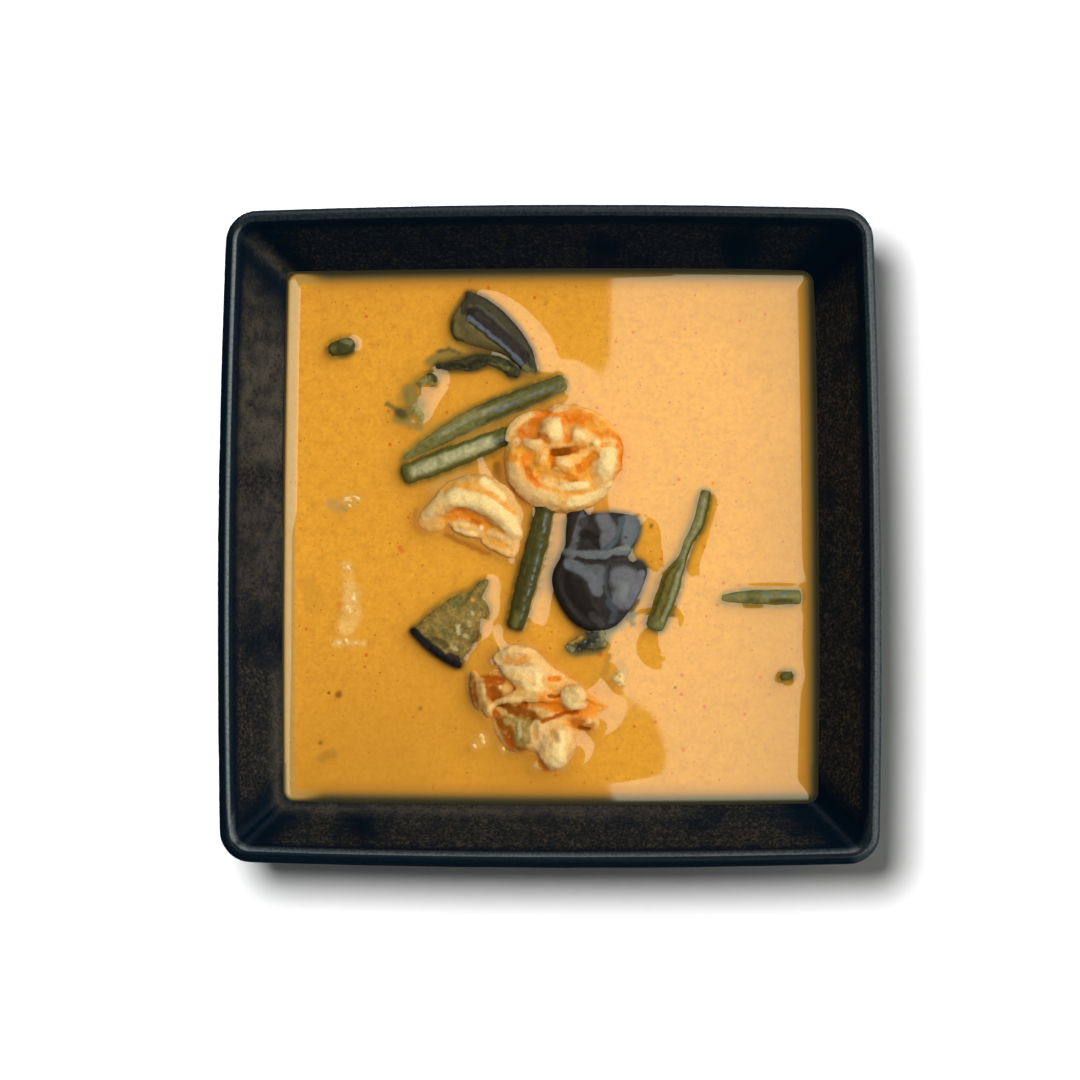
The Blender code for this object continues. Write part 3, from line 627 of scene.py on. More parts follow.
FLESH_GRAIN = 0.42           # of the grid on which shrimps and eggplants are fused, mm
CURLED_FORMS = [
    lump((-10.2, 29.4, 3.2), (1.5, 1.3, 1.2)),
    lump((2.8, 39.8, 1.6), (2.4, 1.4, 1.4)),
    lump((-1.7, 24.0, 4.6), (1.2, 1.0, 1.3)),
    strand([(4.6, 15.1, 3.6), (8.5, 16.3, 4.4), (12.2, 17.0, 4.0)], [0.8, 1.2, 0.8]),
    strand([(-13.0, 30.4, 2.6), (-12.0, 33.4, 3.0), (-9.0, 36.0, 3.2), (-6.2, 37.8, 2.8)],
           [0.8, 1.1, 1.2, 0.7]),
    strand([(1.6, 26.2, 3.6), (6.5, 26.6, 3.7), (11.4, 27.8, 3.9)], [1.0, 1.4, 1.1]),
]
CURLED_STROKES = [
    (3.4, 0, 1, srgb(234, 188, 122), -13.6, 21.4, -11, 15.8, -6.4, 12.4, -1, 11),
    (1.5, 0, 0.9, BLUSH, -15.6, 22, -13.4, 16.4, -9.4, 11.6),
    (1.6, 0, 0.8, srgb(226, 180, 120), -7, 13, -3, 11.6),
    (1.6, 0, 0.7, BLUSH, -4, 12, 4, 9.6, 10, 9.8),
    (2.7, -0.1, 0.95, ORANGE, -8, 33, -3, 37, 2.5, 38.4),
    (3, -0.1, 0.95, AMBER, -14, 25, -9, 25.6, -6, 23.4),
    (1.2, 0, 0.8, FLAME, -12.6, 24.4, -10.4, 24),
    (1, 0.1, 0.7, CREAM, -12, 29, -13.6, 27.4),
    (2.2, -0.1, 0.6, DEEP, -9.6, 29.6, -6.6, 32.4),
    (2, -0.15, 0.95, ORANGE, -7, 24, -6, 20, -3.6, 17),
    (2.9, -0.1, 0.95, AMBER, -4, 21.6, 2, 19.4, 9, 20, 13, 22.4),
    (1.1, -0.3, 1, ORANGE, 0.9, 24.8, 1.4, 21, 4, 18.8),
    (3.8, 0, 1, FLAME, 4.6, 38.4, 9.6, 38, 14.8, 35.4, 20, 31.8, 23, 28, 24, 23),
    (1.5, -0.1, 0.95, ORANGE, 5.4, 36.4, 10.4, 36, 15, 32.6, 17.4, 31.2),
    (1.1, 0, 1, ORANGE, 20.4, 31, 22.6, 27.6, 23.4, 23.4),
    (1.5, 0, 0.85, AMBER, 12.4, 34.4, 16.4, 33.4),
    (1.6, 0, 0.95, srgb(242, 178, 92), 2.6, 41.4, 8.6, 41, 14.2, 39, 18.6, 36, 21.8, 32.6),
    (1.1, 0, 0.9, AMBER, 17.4, 30.4, 20.4, 28.8),
    (1, 0, 0.9, ORANGE, 22.4, 25, 23.2, 21.6),
    (1.6, 0, 0.8, AMBER, 13.8, 19.2, 13.2, 16.6),
    (1.2, -0.4, 1, ORANGE, 4.8, 36, 5.8, 31.5, 5.4, 29.4),
    (1.2, -0.4, 0.8, DEEP, -0.4, 29.4, -4.2, 31.2, -6.4, 30.8),
    (1.3, -0.4, 1, ORANGE, 13.8, 25, 11.6, 22.6, 9.6, 20.4),
    (0.8, -0.3, 0.9, ORANGE, 16.4, 27.8, 18, 28.4, 20.8, 27.8),
    (1.1, -0.3, 0.95, DEEP, 4.6, 18.2, 8, 17.8),
    (1.3, -0.4, 0.7, BROWN, -6.4, 20.6),
    (1.2, -0.3, 0.95, DEEP, -3.2, 17.6),
    (1, -0.2, 0.8, RUST, 0.1, 39.4),
    (1.7, -0.1, 0.95, BLUSH, 15, 17.6, 19, 17),
    (2, 0, 0.7, AMBER, 12.4, 19.6),
    (2.4, 0.1, 1, CREAM, -0.6, 34.2, 1.6, 34.6, 2.2, 31.2),
    (1.7, 0.1, 1, WHITE, 2.2, 35.2, 2, 31.4),
    (1.1, 0, 0.7, TAN, -2.4, 33.8),
    (1.7, 0, 0.9, CREAM, 6, 33.2, 9.4, 31.4, 12.6, 30.2),
    (1.1, 0.1, 0.9, WHITE, 8.6, 31.6, 10.2, 30.6),
    (2.4, 0, 1, CREAM, 15.4, 20.6, 16.4, 23.4),
    (2.7, 0.15, 1, WHITE, 17.6, 20.4, 18.4, 26),
    (0.8, -0.1, 0.7, SMOKE, 12.8, 28.2),
    (1.1, 0.25, 1, WHITE, 14.7, 28.8),
    (0.9, 0.1, 0.8, CREAM, 17.4, 29.6, 20, 28.8),
    (1.7, 0.2, 1, CREAM, -6.2, 29, -3.6, 28.2),
    (1.4, 0.1, 1, CREAM, 3.2, 23.2, 6.6, 22.6),
    (0.8, 0, 0.8, WHITE, 4.6, 22.6),
    (0.9, 0.1, 0.9, srgb(240, 178, 96), 9, 24.6, 10.8, 24.8),
    (0.8, -0.1, 0.8, DEEP, 9, 21.8, 9.2, 20),
    (1, 0.25, 0.95, srgb(238, 174, 86), 1.6, 20.2, 4, 18.8),
    (0.8, -0.1, 0.9, DEEP, -6.6, 19.8, -5, 18),
    (1, 0.1, 0.95, CREAM, -1.9, 24),
    (1, 0.1, 0.9, AMBER * 1.1, -3, 21.4, -0.8, 21.8),
    (1.3, 0, 0.9, CREAM, -10.3, 29.4),
    (1.5, 0, 0.9, CREAM, 1.2, 40, 4, 39.9),
    (1.7, 0.1, 1, CREAM, -6.5, 37.7, -9.2, 36, -12, 33.4, -13.2, 30.4),
    (1.2, -0.3, 0.9, TAN, -7.1, 34.2),
    (0.8, -0.2, 0.9, TAN, -10.6, 32.4),
    (1.35, -0.2, 1, RUST, 1.2, 26.1, 4.4, 26, 8, 26.7),
    (0.5, 0, 0.75, DEEP, 7.2, 26.8, 11.4, 27.6),
    (1, -0.2, 1, BROWN, 1.8, 25.9, 6, 25.9),
    (1.4, 0.1, 0.9, CREAM, -2, 17.6, 3.5, 16, 8, 15),
    (1.2, 0.1, 1, WHITE, 4.4, 14.6, 8, 15.6, 11.4, 15.6),
    (0.6, -0.1, 0.7, AMBER, -2, 14.9, 2.5, 14, 7.5, 13, 13, 13.6),
    (1, 0, 0.8, srgb(230, 184, 122), -4, 12.8, 2, 11.6),
    (1.5, 0.1, 0.95, WHITE, 7, 10.6, 12, 11.6, 16.4, 13.8, 19.6, 15.4),
]
ARCHED_FORMS = [
    lump((-21.2, 2.6, 1.8), (0.9, 0.8, 0.8)),
    strand([(-20.5, -1.6, 0.4), (-16, -3.9, 0.6), (-11.6, -5.6, 0.4), (-9.8, -2.8, 0.6)],
           [0.8, 1.2, 1.2, 1.0]),
    lump((-25.4, 3.9, 0.1), (9.0, 3.6, 1.8), -24),
    lump((-36.4, 4.6, 0.0), (4.6, 3.4, 1.6)),
    lump((-15.8, -1.2, 0.1), (5.4, 3.2, 1.8), -40),
    lump((-22.8, 6.2, 0.6), (4.4, 2.6, 1.8), -30),
]
ARCHED_STROKES = [
    (2, 0, 0.7, TAN, -36, 12, -29, 16.4, -21, 17.6),
    (1.4, 0, 0.5, AMBER, -27, 15.6, -21, 17),
    (2.4, 0, 0.95, srgb(226, 186, 122), -38.6, 7, -35, 10.4, -31.6, 12.4),
    (2.9, 0.1, 1, WHITE, -28.5, 12.4, -24, 11, -19.4, 9.6, -14.7, 6.4, -11, 2.4),
    (1.4, 0.12, 1, WHITE, -20.2, 16.8, -17.6, 14.4, -15, 12),
    (1.1, 0.1, 1, CREAM, -35.2, 9.8, -33.6, 7.4),
    (0.75, -0.15, 0.75, AMBER, -33, 14.6, -30.2, 16.2, -25, 15, -18.6, 13.2, -14.4, 10.2, -10.8, 7.4),
    (1.7, -0.15, 1, srgb(228, 130, 34), -31.9, 5, -28.6, 7.2, -25.2, 6.4, -22.2, 4.8, -19.4, 2.8),
    (0.8, -0.1, 0.8, ORANGE, -30.6, 5.6, -27.6, 7.4, -24.2, 6.2),
    (0.9, -0.1, 0.9, DEEP, -23.9, 4.8, -22, 4),
    (1.2, 0, 0.7, CREAM, -20.2, 6.4, -17.4, 5),
    (0.7, -0.1, 0.8, AMBER, -18, 3.4, -14, 1.2),
    (1.4, -0.1, 0.8, AMBER, -17.5, -1.8, -14.6, -2.6),
    (1.7, 0.1, 1, srgb(230, 176, 102), -30.6, 3.6, -27.4, 2.3, -23.6, 1),
    (0.6, 0.12, 1, CREAM, -30.6, 4.2, -27.6, 3.6, -25.2, 3.6),
    (0.7, 0.12, 1, srgb(244, 202, 132), -29.4, 1.6, -26.4, 1, -23.4, 0.6),
    (0.6, 0.05, 0.6, TAN, -27.8, 2.8, -24.8, 1.6),
    (0.6, 0, 0.8, RUST, -31.8, 0.8, -28.6, -0.2, -25.6, -1),
    (0.9, 0.1, 1, WHITE, -21.2, 2.6),
    (0.9, 0.1, 1, CREAM, -18.7, 1.5, -15.4, -0.2, -12.4, -1.9),
    (1.2, 0, 1, CREAM, -12.4, -5.2, -10.6, -3.4, -9.8, -1),
    (1.7, -0.1, 0.9, TAN, -36.6, 3.8, -33, 2.6),
    (1, 0, 0.8, BLUSH, -39.4, 2.4),
]
TORN_FORMS = [
    strand([(-15.5, -34.6, 0.8), (-12.6, -35.6, 1.8), (-9.6, -35.2, 2.4), (-6.2, -36.6, 2.6),
            (-3, -39.4, 2.2)], [0.5, 0.9, 1.1, 1.0, 0.8]),
    lump((7.5, -49.7, 2.9), (4.4, 4.0, 1.7)),
    strand([(-9.4, -57.6, 1.6), (-9.2, -62.2, 1.8)], [0.7, 0.8]),
    lump((3.4, -67.2, 3.2), (2.6, 3.2, 1.8), -20),
    lump((-17.0, -47.0, 0.0), (5.6, 5.2, 2.1)),
    lump((-22.8, -47.5, 0.0), (2.2, 6.6, 1.7), 8),
    lump((-9.5, -54.5, 0.0), (7.0, 3.6, 1.9), -15),
    lump((-13.2, -60.5, 0.0), (3.4, 7.4, 1.8), 28),
    lump((-9.0, -61.0, 0.2), (4.4, 5.6, 2.1)),
    lump((0.0, -54.4, 0.4), (7.0, 3.6, 2.2)),
    lump((10.5, -56.6, 0.0), (5.6, 3.8, 2.1), -20),
    lump((1.0, -44.8, 0.5), (6.4, 3.6, 2.2), -18),
]
TORN_STROKES = [
    (4, 0.1, 0.95, srgb(230, 192, 138), -16, -37.5, -10, -41, -4, -43.5),
    (1.2, 0, 0.7, srgb(204, 150, 80), -12.4, -37, -8.6, -39.4, -5.6, -39),
    (1, 0.05, 0.8, srgb(222, 180, 116), -16.4, -36.2, -14.6, -38),
    (1.5, 0.1, 0.9, srgb(240, 196, 126), -10, -42.8, -5.6, -44.4, -3.2, -47.6),
    (1.8, 0, 0.9, srgb(190, 142, 76), -19, -41.5, -16.5, -42),
    (1.6, 0, 0.8, srgb(198, 152, 84), -15.6, -37),
    (0.6, -0.2, 0.8, RUST, -18.2, -37.4, -17, -39.6),
    # painted shade under the ridge
    (1, -0.2, 0.75, AMBER * 0.8, -13.5, -38.6, -10, -38.9, -7, -37.8),
    (1.8, 0.15, 0.95, CREAM, -11.4, -43.4, -7.6, -45.4, -4.2, -46.8),
    (1.1, 0.15, 1, WHITE, -7.8, -45.4, -4.6, -47.4),
    (1.1, 0.15, 0.95, WHITE, -3.5, -43, -3.2, -46),
    (1.3, 0.1, 1, CREAM, -12.6, -34.8, -9, -35.4, -5.6, -35.8),
    (1.1, 0.1, 0.95, CREAM, -6.2, -37.6, -2.4, -39.6, 1.2, -42, 3.6, -43.4),
    (1.5, 0, 0.85, srgb(232, 164, 80), -1, -44.6, 3, -44.6),
    (1.3, 0.1, 0.85, srgb(236, 176, 96), 0, -46.6, 3.6, -46.4),
    (1, -0.1, 0.9, ORANGE, 0.6, -44.2, 2.6, -44),
    (1.8, -0.2, 1, RUST, -20.4, -44, -15.2, -44.8),
    (2.6, -0.1, 1, RUST, -19.4, -45.5, -16.8, -49.6, -15.6, -50.4),
    (1.4, -0.1, 0.9, BROWN, -17, -47.6, -15.6, -49.2, -17, -50.4),
    (0.5, 0.2, 1, CREAM, -15.2, -46.7),
    (1.8, 0, 1, BROWN, -24.4, -43.4, -24, -48, -23.2, -52.5, -22, -56),
    (1.3, 0.05, 1, srgb(176, 130, 66), -21.6, -44.8, -20.6, -50, -19.6, -56.4),
    # painted highlight
    (0.5, 0.1, 0.5, srgb(208, 168, 104), -20.8, -46, -20, -50.6),
    (1.7, 0.1, 0.9, srgb(214, 164, 92), -13, -49.6, -7, -50.4, -4, -49.6),
    (0.9, 0.2, 1, CREAM, -18.4, -53.2, -15.6, -51.2, -12, -50.8, -9, -50.4),
    (1.6, -0.3, 1, BROWN, -15, -52.8, -11, -53.8, -8.6, -53.4),
    (1.9, -0.3, 1, BROWN, -9.6, -54.8, -6.4, -55.4, -4.2, -56.2),
    (1.3, -0.2, 1, RUST, -7.6, -52.2),
    (0.8, 0.1, 0.9, srgb(178, 168, 116), -15.8, -53.6, -13.8, -54.6),
    (1.2, -0.1, 1, RUST, -16.8, -54.8, -15.4, -58.4),
    (2.6, -0.1, 1, BROWN, -14.4, -57.6, -12.8, -61.6, -10.6, -65.4, -8, -69),
    (0.9, 0, 0.9, RUST, -13.6, -62, -10.8, -67.6, -7.8, -70.4),
    (1.2, 0.1, 0.9, srgb(158, 134, 76), -13, -57.4, -11.6, -56.8),
    (1.9, 0.1, 1, srgb(158, 128, 68), -9.2, -58, -8.8, -63.6),
    (1.4, 0, 1, srgb(152, 120, 58), -6.4, -57.4, -6.8, -63),
    # painted highlight on the translucent lump
    (0.6, 0.1, 0.6, srgb(196, 180, 126), -9.3, -58, -9.2, -61.6),
    (1, 0.1, 0.8, srgb(188, 160, 104), -4, -57.6),
    (3, 0.1, 0.95, srgb(228, 184, 124), -3, -60, -1.6, -66, 1, -71),
    # painted shade on the left of the lower lobe
    (0.9, -0.3, 0.6, srgb(176, 130, 70), -4.4, -58.6, -4.2, -62.6),
    (1.7, 0.1, 0.9, srgb(222, 174, 104), 1.5, -59, 5.4, -58.6),
    (2.1, 0.2, 1, WHITE, 4.4, -61.8, 2.8, -66, 3.4, -70),
    (1.1, 0.1, 1, CREAM, 6.2, -59.6, 5.8, -63),
    # painted shade
    (1, -0.2, 0.8, srgb(198, 148, 82), 1.2, -60.6, 2.4, -63),
    (1.4, 0.1, 0.7, CREAM, -1.5, -67.5),
    (1.3, -0.1, 1, srgb(196, 108, 32), -2.9, -70, -0.9, -72.6),
    (0.8, 0.1, 0.8, srgb(190, 170, 116), -4.6, -70.9),
    (2.8, -0.1, 1, FLAME, -1.4, -51, 4, -52.6, 9, -54, 14, -53.4, 18.6, -53),
    (1.7, 0, 1, ORANGE, 1.6, -52.6, 5, -53.8),
    (1.9, 0, 0.95, srgb(228, 146, 50), 12, -49.6, 16, -51.4),
    (1.2, 0.1, 0.9, srgb(214, 162, 92), -3, -54.4, -0.2, -55.4),
    (3.8, 0, 1, srgb(226, 184, 120), 7.5, -49.7),
    (1.1, 0.1, 0.85, WHITE, 4.6, -49.4, 6.6, -52.2, 10.2, -52.6),
    (0.9, -0.1, 0.7, srgb(190, 158, 104), 6.8, -47.6, 8.4, -49.2, 7.6, -50.6),
    (0.8, 0, 0.8, srgb(236, 190, 122), 9.6, -47.8, 10.6, -50),
    (0.45, -0.1, 0.6, RUST, 11.6, -50.6, 15, -52.2, 17.6, -52.8),
    (0.7, -0.3, 1, RUST, -2.4, -57, 1.6, -56.2, 4.4, -54.9, 8.6, -54.6),
    (0.7, -0.3, 1, RUST, 0.4, -49.4, 2.6, -49.2),
    (0.8, 0, 0.8, srgb(204, 118, 34), 18.4, -54, 15.6, -56.6),
    (2.1, -0.1, 1, srgb(188, 100, 26), 8.2, -58, 12, -59),
    (0.8, -0.2, 0.9, BROWN, 9.4, -59.2, 11.8, -60),
    (0.7, 0.1, 0.8, CREAM, 12.4, -57.4),
]


def ease_top(mesh, rounds, share):
    """Draws the upper side towards the mean height round about, in rounds of smoothing."""
    places = vertices(mesh)
    upward = share * smooth_step(normals(mesh)[:, 2], 0.1, 0.5)
    places[:, 2] += upward * (neighbour_mean(mesh, places[:, 2], rounds) - places[:, 2])
    move_vertices(mesh, places)


# Each shrimp: the forms fused with it, its strokes, its ground tone, and rounds of easing its top.
SHRIMPS = {
    "curled_shrimp": (CURLED_FORMS, CURLED_STROKES, srgb(236, 172, 88), 60),
    "arched_shrimp": (ARCHED_FORMS, ARCHED_STROKES, BLUSH, 20),
    "torn_shrimp": (TORN_FORMS, TORN_STROKES, BLUSH, 24),
}


def build_shrimp(name, finish):
    """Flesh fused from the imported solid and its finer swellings, with every stroke painted on."""
    forms, strokes, base, ease = SHRIMPS[name]
    mesh = fused(name, name, forms, FLESH_GRAIN, soften=5)
    ease_top(mesh, ease, 0.6)
    colours = np.tile(base, (len(mesh.vertices), 1))
    colours = brush(mesh, colours, strokes)
    places = vertices(mesh)
    wrinkles = 0.35 * ripple(places, 3.4, 5.0) + 0.22 * ripple(places, 1.7, 6.0)
    push(mesh, wrinkles + 0.05 * ripple(places, 0.9, 7.0))
    torn = smooth_step(ripple(places, 1.1, 32.0) + 0.6 * ripple(places, 0.6, 33.0), -0.1, 0.7)
    colours = mix(colours, colours * (1.0, 0.8, 0.5), 0.25 * torn)
    light = smooth_step(colours.mean(axis=1), 0.15, 0.3)
    # painted shade and highlight: hollows darker and more orange, bumps whiter, partly the flesh's own
    # orange between its lumps
    fine = bulge(mesh, 5)
    colours = mix(colours, colours * (0.95, 0.72, 0.36), 0.35 * smooth_step(-fine, 0.01, 0.08))
    colours = mix(colours, WHITE, 0.15 * smooth_step(fine, 0.02, 0.09))
    proud = bulge(mesh, 40)
    colours = mix(colours, AMBER * (0.92, 0.85, 0.7), 0.5 * light * smooth_step(-proud, 0.05, 0.3))
    colours = mix(colours, WHITE, 0.1 * smooth_step(proud, 0.08, 0.35))
    # wet: a curry film low on the pale flesh, painted a lighter amber to lift the shade where it meets the
    # curry
    wet = light * (1 - smooth_step(vertices(mesh)[:, 2], 0.5, 1.9))
    paint(mesh, mix(colours, AMBER * 1.1, 0.5 * wet))
    return add_piece(name + "_flesh", mesh, finish, "shrimp", name)


# ---- eggplant --------------------------------------------------------------------------------
FOLDED_FORMS = [
    lump((13.8, -9.4, 1.4), (2.6, 2.4, 2.0)),
    lump((8.4, -2.4, 0.8), (2.4, 2.4, 2.0)),
    lump((9.0, 4.4, 0.3), (3.6, 4.6, 1.7), -8),
    strand([(7.0, 7.4, 0.2), (6.8, 2.0, 0.3), (6.4, -3.2, 0.6), (4.8, -7.4, 0.6), (2.9, -10.8, 0.5),
            (2.4, -14.2, 0.4), (3.6, -18.2, 0.4), (5.9, -22.4, 0.4), (9.0, -25.9, 0.4), (12.2, -27.9, 0.3)],
           [1.5, 1.8, 1.7, 1.7, 1.7, 1.7, 1.7, 1.7, 1.7, 1.5]),
    strand([(12.2, -27.9, 0.3), (15.6, -27.9, 0.3), (19.0, -26.9, 0.3), (21.8, -24.3, 0.4),
            (25.2, -19.6, 0.4), (27.6, -14.4, 0.4), (28.8, -10.4, 0.5), (27.6, -8.4, 0.6)],
           [1.5, 1.6, 1.6, 1.7, 1.7, 1.7, 1.6, 1.4]),
    strand([(19.4, 6.2, 0.4), (26.0, 4.8, 0.4), (26.6, 1.6, 0.4), (24.8, -2.6, 0.5)], [1.4, 1.5, 1.5, 1.4]),
]
# on the near-black skin, the grey and blue-grey strokes are painted sheen, a painted reflection of the
# window
FOLDED_STROKES = [
    (1.8, 0, 1, srgb(46, 37, 30), 7.2, 6.6, 6.2, 2.4, 5, -2.6),
    (1.2, 0.1, 0.9, srgb(84, 82, 82), 10.4, 7, 9.2, 3.2, 8, -1.4, 7, -3.8),
    (0.8, -0.1, 0.9, SKIN, 11.4, 7.6, 16.8, 7.6),
    (2, -0.15, 0.95, srgb(54, 48, 44), 10.8, 4.2, 12.8, 2.2),
    (1.5, -0.25, 1, srgb(34, 27, 24), 10.4, 0.8, 13.4, -0.4, 16, -2.8),
    (0.5, -0.15, 0.85, srgb(48, 43, 40), 8.4, -2.2, 10.8, -3.6, 12, -5),
    (2.3, 0.05, 0.95, srgb(100, 98, 102), 16.4, 6, 18.6, 1.6, 17.6, -1.4),
    (2.2, 0.05, 0.95, srgb(101, 100, 104), 25, 5, 24.4, -1.2),
    (0.9, -0.15, 0.85, srgb(76, 81, 86), 22.5, 5.4, 21.4, 1, 20.1, -1.9, 16.7, -3.8),
    (0.5, -0.1, 0.8, srgb(52, 50, 50), 23.7, -0.4),
    (1.5, 0.12, 0.95, srgb(105, 105, 106), 4.2, -5, 9.4, -5.8, 17.2, -5.6, 21, -5, 24.4, -4.6),
    (0.8, 0, 0.7, srgb(118, 122, 108), 22.2, -3.8, 24.4, -3.4),
    (0.8, 0, 0.85, srgb(88, 94, 98), 24.6, -5.2, 28.2, -7.2),
    (4.3, 0, 1, srgb(33, 27, 22), 3.4, -9.4, 3.4, -14, 4.8, -19, 8, -24.6, 11.2, -27.4),
    (1.8, 0, 1, srgb(36, 30, 25), 8.4, -14.6, 10.6, -19.4, 12.8, -23.4),
    (1.9, -0.15, 1, srgb(48, 42, 39), 14.6, -19.6, 16.6, -21.4, 17.2, -24.4),
    (1.2, 0.05, 0.85, srgb(62, 58, 54), 13.2, -24.4, 15.8, -27.2),
    (1.9, 0.12, 0.95, srgb(102, 101, 104), 6, -8.4, 10.2, -10.6, 13.4, -13.4, 14.8, -17),
    (1.6, 0.05, 0.9, srgb(90, 92, 94), 12.4, -9.6, 15.8, -10.4, 16, -13.8),
    (0.8, -0.3, 0.95, srgb(52, 45, 40), 8.2, -6.9, 11.8, -7.9, 17.2, -8.2, 19.6, -6.9),
    (0.8, -0.25, 0.9, srgb(54, 47, 42), 19.6, -6.9, 24, -6.9, 29.6, -8.8),
    (3.9, 0.1, 0.95, srgb(102, 99, 103), 22.4, -13, 25, -14.4, 22.8, -19),
    (1.5, 0.05, 0.6, srgb(118, 122, 118), 23.4, -15.4, 22.8, -18.8),
    (0.6, -0.2, 0.9, srgb(64, 64, 66), 17.9, -9.4, 17.2, -13, 17.8, -16.6, 18.6, -19.4),
    (1.1, -0.1, 0.7, srgb(72, 78, 82), 18.4, -20.4, 20, -23.4, 19.4, -26),
    (0.8, -0.1, 0.8, srgb(50, 45, 42), 21.8, -24.2),
    (1.3, 0, 0.9, srgb(104, 101, 105), 28.6, -11.6, 27.4, -15.4, 24.2, -21),
    (1.1, 0, 0.8, srgb(92, 98, 100), 27.4, 5.6, 27, 1.6, 25, -1.8),
]
PIECE_FORMS = [
    strand([(-25.4, 75.6, 0.0), (-20.8, 73.0, 0.3), (-16.0, 69.2, 0.5), (-12.0, 65.0, 0.5),
            (-9.0, 61.2, 0.4), (-6.2, 56.6, 0.2), (-4.6, 51.8, 0.1)],
           [1.2, 1.6, 1.8, 1.8, 1.7, 1.5, 1.3]),
    strand([(-25.4, 74.0, 0.2), (-28.2, 69.4, 0.0), (-29.4, 65.4, 0.0), (-28.4, 62.4, 0.0)],
           [1.0, 1.5, 1.7, 1.6]),
]
PIECE_STROKES = [
    (3.2, 0, 1, srgb(106, 90, 52), -26, 73, -29.6, 66, -27, 61.4, -18, 59.4, -11, 56),
    (2.6, 0, 1, srgb(106, 90, 52), -24, 66, -17, 61.4),
    (1, -0.1, 0.85, MOSS, -30.4, 67, -30.6, 62.8, -27.6, 60.4),
    (2, 0, 1, srgb(66, 60, 42), -25.6, 75, -20, 71.6, -14, 66, -9, 59.6, -5, 52),
    # painted sheen
    (0.8, 0.05, 0.7, srgb(84, 80, 66), -22.6, 71.6, -17, 67.4, -11.4, 61),
    (1.2, 0, 0.8, srgb(56, 50, 40), -26.4, 74, -26.6, 70),
    (2.2, -0.3, 1, srgb(44, 37, 34), -24, 69.6, -18.4, 65.2, -12, 59.8, -8.4, 55.4),
    (1, -0.1, 0.7, srgb(58, 50, 44), -22, 69, -19, 67),
    # painted highlight: a blue-grey line along the skin
    (0.8, 0.3, 0.95, srgb(92, 94, 104), -25, 67.8, -19, 62.8, -12.4, 57.4, -8.6, 53.8),
    (0.45, -0.3, 0.8, MOSS, -24.6, 66.2, -18.4, 61.2, -12, 56.2),
    (1.2, 0, 0.7, srgb(126, 116, 78), -7.4, 52.2, -5.4, 51),
]
WEDGE_FORMS = [strand([(-24.4, -20.4, 0.0), (-21.6, -16.4, 0.1), (-19.8, -14.2, 0.0)], [2.2, 1.7, 1.2]),
               lump((-20.6, -22.4, 0.0), (2.0, 3.4, 1.3), 10)]
WEDGE_STROKES = [
    (2, -0.2, 0.75, SEDGE, -29, -20.5),
    (1.6, 0.1, 0.8, PULP * 1.15, -36, -27, -34, -25),
    (1.4, 0.2, 0.7, PULP * 1.3, -30.4, -24.6, -27.6, -25),
    (1.3, -0.2, 0.85, OLIVE, -22.6, -30.2, -24, -32.8),
    (1.1, -0.1, 0.8, OLIVE, -36.2, -31.8, -32.6, -33.8),
    (1.2, -0.1, 0.7, SEDGE, -33.4, -28.8, -31.6, -31),
    (0.8, 0.2, 0.95, PALE_PULP, -28.4, -28, -28.2, -30),
    (0.8, 0.2, 0.8, PALE_PULP, -30.2, -34, -29, -35),
    (0.6, 0.15, 0.8, PALE_PULP, -26.4, -30.8, -25.2, -31.6),
    (0.5, 0.15, 0.8, PALE_PULP, -24.2, -23.4, -23.8, -24.4),
    (0.5, 0.1, 0.7, PALE_PULP, -25, -26.6, -24.8, -27.6),
    (0.7, -0.2, 0.8, AMBER, -23.8, -19.6),
    (1.3, 0, 0.6, SEDGE, -21, -15),
    (1.5, 0.2, 1, SKIN, -43.2, -28.6, -39.4, -32.2, -35, -35.8, -31.4, -38.6, -28.4, -40),
    (1.2, 0.1, 0.95, SKIN, -31, -37, -28.8, -38),
    (0.4, 0, 0.6, DUSK, -41.6, -31, -37.4, -34.8),
]


# Each eggplant piece: the forms fused with it, its strokes, slot and ground tone, how mottled it is,
# the height in mm above which its top is levelled off, and rounds of easing that top.
EGGPLANTS = {
    "folded_eggplant": (FOLDED_FORMS, FOLDED_STROKES, "eggplant_skin", DUSK, 0.08, 1.9, 30),
    "eggplant_piece": (PIECE_FORMS, PIECE_STROKES, "eggplant_skin", DUSK, 0.1, 2.4, 12),
    "eggplant_wedge": (WEDGE_FORMS, WEDGE_STROKES, "eggplant_flesh", PULP, 0.2, 2.0, 4),
}


def build_eggplant(name, finishes):
    """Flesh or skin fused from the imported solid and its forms, levelled off on top and painted."""
    forms, strokes, slot, base, mottle, plateau, ease = EGGPLANTS[name]
    mesh = fused(name, name, forms, FLESH_GRAIN, soften=9)
    places = vertices(mesh)
    places[:, 2] -= 0.6 * np.maximum(places[:, 2] - plateau, 0)
    move_vertices(mesh, places)
    ease_top(mesh, ease, 0.85)
    places = vertices(mesh)
    patches = smooth_step(ripple(places, 2.4, 8.0) + 0.5 * ripple(places, 1.0, 9.0), -0.5, 0.7)
    colours = mix(np.tile(base * (1 - mottle), (len(places), 1)), base * (1 + mottle), patches)
    colours = brush(mesh, colours, strokes, fade=(0.65, 1.25))
    places = vertices(mesh)
    push(mesh, mottle * (0.5 * ripple(places, 1.6, 10.0) + 0.25 * ripple(places, 0.8, 11.0)))
    paint(mesh, colours)
    return add_piece(name + "_flesh", mesh, finishes[slot], slot, name)


# ---- beans -----------------------------------------------------------------------------------
POD_SIDES = 40
POD_STEP = 0.45              # between stations, mm
STRIPE_FADE = 0.035          # to each side of a stripe's ends, as a share of the pod's length
